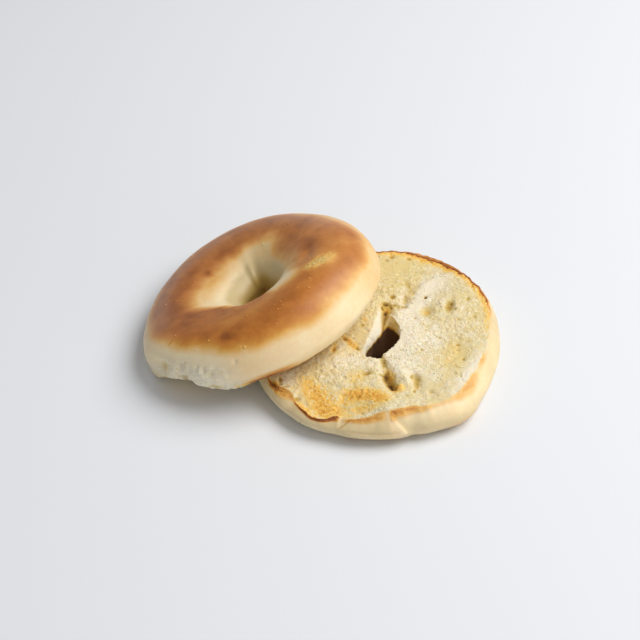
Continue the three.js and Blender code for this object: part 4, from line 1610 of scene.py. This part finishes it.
class CrumbLook(bpy.types.PropertyGroup):
    """Colours and texture of the cut faces."""

    pale: colour_setting("Pale", "Colour of untoasted crumb", 233, 226, 206)
    yellow: colour_setting("Yellow", "Colour of the richer crumb", 220, 202, 146)
    # Fleck and Shade are partly painted highlight and painted shade on the crumb's fine relief.
    fleck: colour_setting("Fleck", "Colour of the driest specks", 250, 246, 232)
    shade: colour_setting("Shade", "Colour of the finest pores", 202, 182, 112)
    golden: colour_setting("Golden", "Colour of lightly toasted crumb", 240, 204, 116)
    toast: colour_setting("Toast", "Colour of toasted crumb", 228, 172, 70)
    brown: colour_setting("Brown", "Colour of well toasted crumb", 204, 136, 60)
    burnt: colour_setting("Burnt", "Colour of burnt crumb", 120, 62, 24)
    # Colours of painted shade: a tint for shallow pores, the colour inside pores and pits (partly
    # their own), and near black deep in the hole and in the darkest pits.
    shallow: colour_setting("Shallow", "Tint of shallow pores", 226, 208, 150)
    pit: colour_setting("Pit", "Colour inside pores and pits", 158, 122, 56)
    deepest_shade: colour_setting("Deep", "Colour deep in the hole", 74, 42, 10)
    roughness: share_setting("Roughness", "Roughness of crumb", 0.9)
    pore_spacing: length_setting("Pore Spacing", "Distance between the smallest pores", 1.7, 1, 5)
    pore_depth: length_setting("Pore Depth", "Depth of the pores", 0.7, 0, 2)
    crumb_roughness: length_setting("Torn Height", "Height of the torn crumb", 0.75, 0, 2)
    crust_waviness: length_setting("Crust Waviness", "Height of the crust's faint waves",
                                   0.3, 0, 1)


class CrustLook(bpy.types.PropertyGroup):
    """Colours and gloss of the skin."""

    cream: colour_setting("Cream", "Colour of the palest skin", 245, 228, 190)
    amber: colour_setting("Amber", "Glaze over the warmest brown", 255, 247, 188)
    # Also a painted sheen: this greyer colour stands for flour and for the sheen on the back and
    # sides.
    dust_and_sheen: colour_setting("Dust", "Flour that dulls the brown", 205, 180, 165)
    # Partly painted shade: the funnel's olive paint turns pale skin to this colour.
    dull: colour_setting("Dull", "Colour of pale skin low on the walls", 211, 193, 148)
    straw: colour_setting("Straw", "Colour of pale skin", 236, 203, 150)
    golden: colour_setting("Golden", "Colour of golden skin", 226, 180, 110)
    tan: colour_setting("Tan", "Colour of light brown skin", 208, 148, 82)
    brown: colour_setting("Brown", "Colour of brown skin", 188, 120, 58)
    burnt: colour_setting("Dark", "Colour of the darkest skin", 146, 84, 36)
    roughness: share_setting("Roughness", "Roughness of the skin", 0.45)
    blister_radius: length_setting("Blister Radius", "Radius of the largest blister", 0.6, 0.2, 3)


class StageLook(bpy.types.PropertyGroup):
    """The floor, light and camera."""

    floor_colour: colour_setting("Floor", "Colour of the floor", 229, 235, 246)
    key_power: power_setting("Key Light", "Power of the large soft light", 18.6)
    fill_power: power_setting("Fill Light", "Power of the low soft light at the front", 3.9)
    sky_strength: bpy.props.FloatProperty(
        name="Sky", description="Strength of the even light from all round",
        default=0.34, min=0)
    camera_tilt: angle_setting("Camera Tilt", "Angle of the camera above the table", 41.5)
    camera_roll: angle_setting("Camera Roll", "Turn of the camera about its own axis", 1.56)
    camera_distance: bpy.props.FloatProperty(
        name="Camera Distance", description="Distance from the camera to the bagel",
        unit="LENGTH", default=0.709, min=0.1)


class BagelSettings(bpy.types.PropertyGroup):
    """All settings of the bagel."""

    crumb: bpy.props.PointerProperty(type=CrumbLook)
    crust: bpy.props.PointerProperty(type=CrustLook)
    stage: bpy.props.PointerProperty(type=StageLook)


# ---- Pieces --------------------------------------------------------------------------------

def bottom_matrix():
    return Matrix.Translation(Vector(BOTTOM_PLACE) * MM)


def top_matrix():
    heading = math.radians(LEAN_HEADING)
    hinge = Vector((math.sin(heading), -math.cos(heading), 0))
    return Matrix.Translation(Vector(TOP_PLACE) * MM) @ Matrix.Rotation(
        math.radians(LEAN_ANGLE), 4, hinge)


def new_piece(name, mesh):
    piece = bpy.data.objects.new(name, mesh)
    bpy.context.scene.collection.objects.link(piece)
    return piece


def settle(mesh):
    """Keeps every vertex on or above the table."""
    places = np.empty(len(mesh.vertices) * 3, np.float32)
    mesh.vertices.foreach_get("co", places)
    places = places.reshape(-1, 3)
    places[:, 2] = np.maximum(places[:, 2], 0)
    mesh.vertices.foreach_set("co", places.ravel())
    mesh.update()


def declare(piece, slot, *nodes):
    """Hangs a piece on what it rides on and hides the parts it stands for. Its slot is not used."""
    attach(piece, "root")
    if nodes:
        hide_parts(*nodes)


def bake_half(name, skin, matrix, material, seed):
    """A half as a finished piece: its skin put in place, given its relief and its material."""
    look = bpy.context.scene.bagel.crumb
    piece = new_piece(name, skin.mesh(name, matrix))
    apply_tree(piece, relief_tree(), {
        "Pore Spacing": look.pore_spacing, "Pore Depth": look.pore_depth,
        "Crumb Roughness": look.crumb_roughness, "Crust Waviness": look.crust_waviness,
        "Seed": seed, "Material": material})
    settle(piece.data)
    return piece


def material_for(name):
    """The bread material of that name, made when it is first asked for."""
    settings = bpy.context.scene.bagel
    return bpy.data.materials.get(name) or bread_material(name, settings.crumb, settings.crust)


def made_before(name, reason):
    """A piece that another one needs. Raises an error if it hasn't been made."""
    piece = bpy.data.objects.get(name)
    if piece is None:
        raise RuntimeError(reason)
    return piece


def blister_points(mesh):
    """Points with a facing, on the given places of the crust and on some more at random."""
    draw = np.random.default_rng(BLISTER_SEED)
    wanted = [*BLISTERS, *((draw.uniform(0, 360), draw.uniform(*BLISTER_SPREAD))
                           for _ in range(MORE_BLISTERS))]
    before = TOP_FACE_LOOPS + TOP_WALL_LOOPS
    loops = len(mesh.vertices) // TOP_SPOKES
    chosen = []
    for degrees, section in wanted:
        share = section / CROWN_SECTION
        loop = before + (share * SKIN_LOOPS if share < 1
                         else SKIN_LOOPS + (share - 1) * FUNNEL_LOOPS)
        chosen.append(int(degrees / 360 * TOP_SPOKES) % TOP_SPOKES * loops + int(loop))
    points = bpy.data.meshes.new("crust_blisters")
    points.vertices.add(len(chosen))
    places = [mesh.vertices[i].co for i in chosen]
    points.vertices.foreach_set("co", np.array(places).ravel())
    facing = points.attributes.new("facing", "FLOAT_VECTOR", "POINT")
    facing.data.foreach_set("vector", np.array([mesh.vertices[i].normal for i in chosen]).ravel())
    for paint in PAINTS:
        source = mesh.attributes[paint].data
        values = [source[i].value * (BLISTER_BROWN if paint == "brown" else 1) for i in chosen]
        points.attributes.new(paint, "FLOAT", "POINT").data.foreach_set("value", values)
    return points


class MakeBottomHalf(bpy.types.Operator):
    """Makes the bottom half, cut face up"""

    bl_idname = "bagel.bottom_half"
    bl_label = "Bottom Half"

    def execute(self, context):
        piece = bake_half("bottom_half_bread", bottom_skin(), bottom_matrix(),
                          material_for("toasted crumb"), BOTTOM_SEED)
        declare(piece, "toasted_crumb", "bottom_half")
        return {"FINISHED"}


class MakeTopHalf(bpy.types.Operator):
    """Makes the leaning top half, crust up"""

    bl_idname = "bagel.top_half"
    bl_label = "Top Half"

    def execute(self, context):
        piece = bake_half("top_half_bread", top_skin(), top_matrix(),
                          material_for("baked crust"), TOP_SEED)
        declare(piece, "baked_crust", "top_half")
        return {"FINISHED"}


class ScatterCrumbs(bpy.types.Operator):
    """Scatters loose crumbs over the cut face"""

    bl_idname = "bagel.crumbs"
    bl_label = "Loose Crumbs"

    def execute(self, context):
        ground = made_before("bottom_half_bread", "make the bottom half before its crumbs")
        piece = new_piece("loose_crumbs", ground.data.copy())
        apply_tree(piece, scatter_tree(), {"Material": material_for("toasted crumb")})
        declare(piece, "toasted_crumb")
        return {"FINISHED"}


class MakeBlisters(bpy.types.Operator):
    """Sets small blisters on the baked crust"""

    bl_idname = "bagel.blisters"
    bl_label = "Crust Blisters"

    def execute(self, context):
        crust = made_before("top_half_bread", "make the top half before its blisters")
        piece = new_piece("crust_blisters", blister_points(crust.data))
        apply_tree(piece, blister_tree(), {
            "Blister Radius": context.scene.bagel.crust.blister_radius,
            "Material": material_for("baked crust")})
        declare(piece, "baked_crust")
        return {"FINISHED"}


# ---- Stage ---------------------------------------------------------------------------------

FLOOR_SIZE = 6.0
FLOOR_DROP = 0.0002
FLOOR_GRID = 8
FLOOR_ROUGHNESS = 0.7
FLOOR_SPECULAR = 0.2
# Each light: heading and rise in degrees, distance and size in metres.
KEY_LIGHT = (6, 53, 1.4, 1.1)
FILL_LIGHT = (-55, 12, 1.6, 1.2)
LIGHT_COLOUR = tint(255, 250, 242)
SKY_COLOUR = tint(255, 251, 244)
AIM = (-0.0005, 0.0156, 0.0)
LENS = 90
SENSOR_WIDTH = 36
FARTHEST_SEEN = 10


def make_floor(look):
    bpy.ops.mesh.primitive_grid_add(x_subdivisions=FLOOR_GRID, y_subdivisions=FLOOR_GRID,
                                    size=FLOOR_SIZE, location=(0, 0, -FLOOR_DROP))
    floor = bpy.context.object
    floor.name = "floor"
    material = bpy.data.materials.new("floor")
    material.use_nodes = True
    shader = material.node_tree.nodes["Principled BSDF"]
    shader.inputs["Base Color"].default_value = look.floor_colour
    shader.inputs["Roughness"].default_value = FLOOR_ROUGHNESS
    shader.inputs["Specular IOR Level"].default_value = FLOOR_SPECULAR
    floor.data.materials.append(material)


def make_lights(look):
    world = bpy.data.worlds.new("studio")
    world.use_nodes = True
    background = world.node_tree.nodes["Background"]
    background.inputs["Color"].default_value = SKY_COLOUR
    background.inputs["Strength"].default_value = look.sky_strength
    bpy.context.scene.world = world
    add_light("key", KEY_LIGHT, look.key_power)
    add_light("fill", FILL_LIGHT, look.fill_power)
    bpy.context.scene.view_settings.view_transform = "Standard"


def add_light(name, setting, power):
    """A round soft light that shines on the middle of the table."""
    heading, rise, distance, size = setting
    light = bpy.data.lights.new(name, "AREA")
    light.shape = "DISK"
    light.size = size
    light.energy = power
    light.color = LIGHT_COLOUR[:3]
    heading, rise = math.radians(heading), math.radians(rise)
    way = Vector((math.cos(heading) * math.cos(rise), math.sin(heading) * math.cos(rise),
                  math.sin(rise)))
    lamp = bpy.data.objects.new(name, light)
    lamp.location = way * distance
    lamp.rotation_euler = way.to_track_quat("Z", "Y").to_euler()
    bpy.context.scene.collection.objects.link(lamp)


def make_camera(look):
    tilt, roll = look.camera_tilt, look.camera_roll
    back = Vector((0, -math.cos(tilt), math.sin(tilt)))
    level = Vector((1, 0, 0))
    above = Vector((0, math.sin(tilt), math.cos(tilt)))
    right = level * math.cos(roll) - above * math.sin(roll)
    up = level * math.sin(roll) + above * math.cos(roll)
    camera = bpy.data.objects.new("camera", bpy.data.cameras.new("camera"))
    camera.data.lens = LENS
    camera.data.sensor_width = SENSOR_WIDTH
    camera.data.clip_end = FARTHEST_SEEN
    camera.matrix_world = Matrix.Translation(Vector(AIM) + back * look.camera_distance) \
        @ Matrix((right, up, back)).transposed().to_4x4()
    bpy.context.scene.collection.objects.link(camera)
    bpy.context.scene.camera = camera


class MakeStage(bpy.types.Operator):
    """Makes the floor, the light and the camera"""

    bl_idname = "bagel.stage"
    bl_label = "Stage"

    def execute(self, context):
        look = context.scene.bagel.stage
        make_floor(look)
        make_lights(look)
        make_camera(look)
        return {"FINISHED"}


# ---- Add-on --------------------------------------------------------------------------------

class BagelPanel(bpy.types.Panel):
    """Lists the settings and the buttons that make the bagel"""

    bl_idname = "VIEW3D_PT_bagel"
    bl_label = "Bagel"
    bl_space_type = "VIEW_3D"
    bl_region_type = "UI"
    bl_category = "Bagel"

    def draw(self, context):
        settings = context.scene.bagel
        for group in (settings.crumb, settings.crust, settings.stage):
            box = self.layout.box()
            for name in group.bl_rna.properties.keys():
                if name not in ("rna_type", "name"):
                    box.prop(group, name)
        for operator in OPERATORS:
            self.layout.operator(operator.bl_idname)


OPERATORS = (MakeBottomHalf, MakeTopHalf, ScatterCrumbs, MakeBlisters, MakeStage)
CLASSES = (CrumbLook, CrustLook, StageLook, BagelSettings, *OPERATORS, BagelPanel)


def register():
    for item in CLASSES:
        bpy.utils.register_class(item)
    bpy.types.Scene.bagel = bpy.props.PointerProperty(type=BagelSettings)


def unregister():
    del bpy.types.Scene.bagel
    for item in reversed(CLASSES):
        bpy.utils.unregister_class(item)


def main():
    register()
    bpy.ops.bagel.bottom_half()
    bpy.ops.bagel.top_half()
    bpy.ops.bagel.crumbs()
    bpy.ops.bagel.blisters()
    bpy.ops.bagel.stage()


if __name__ == "__main__":
    main()
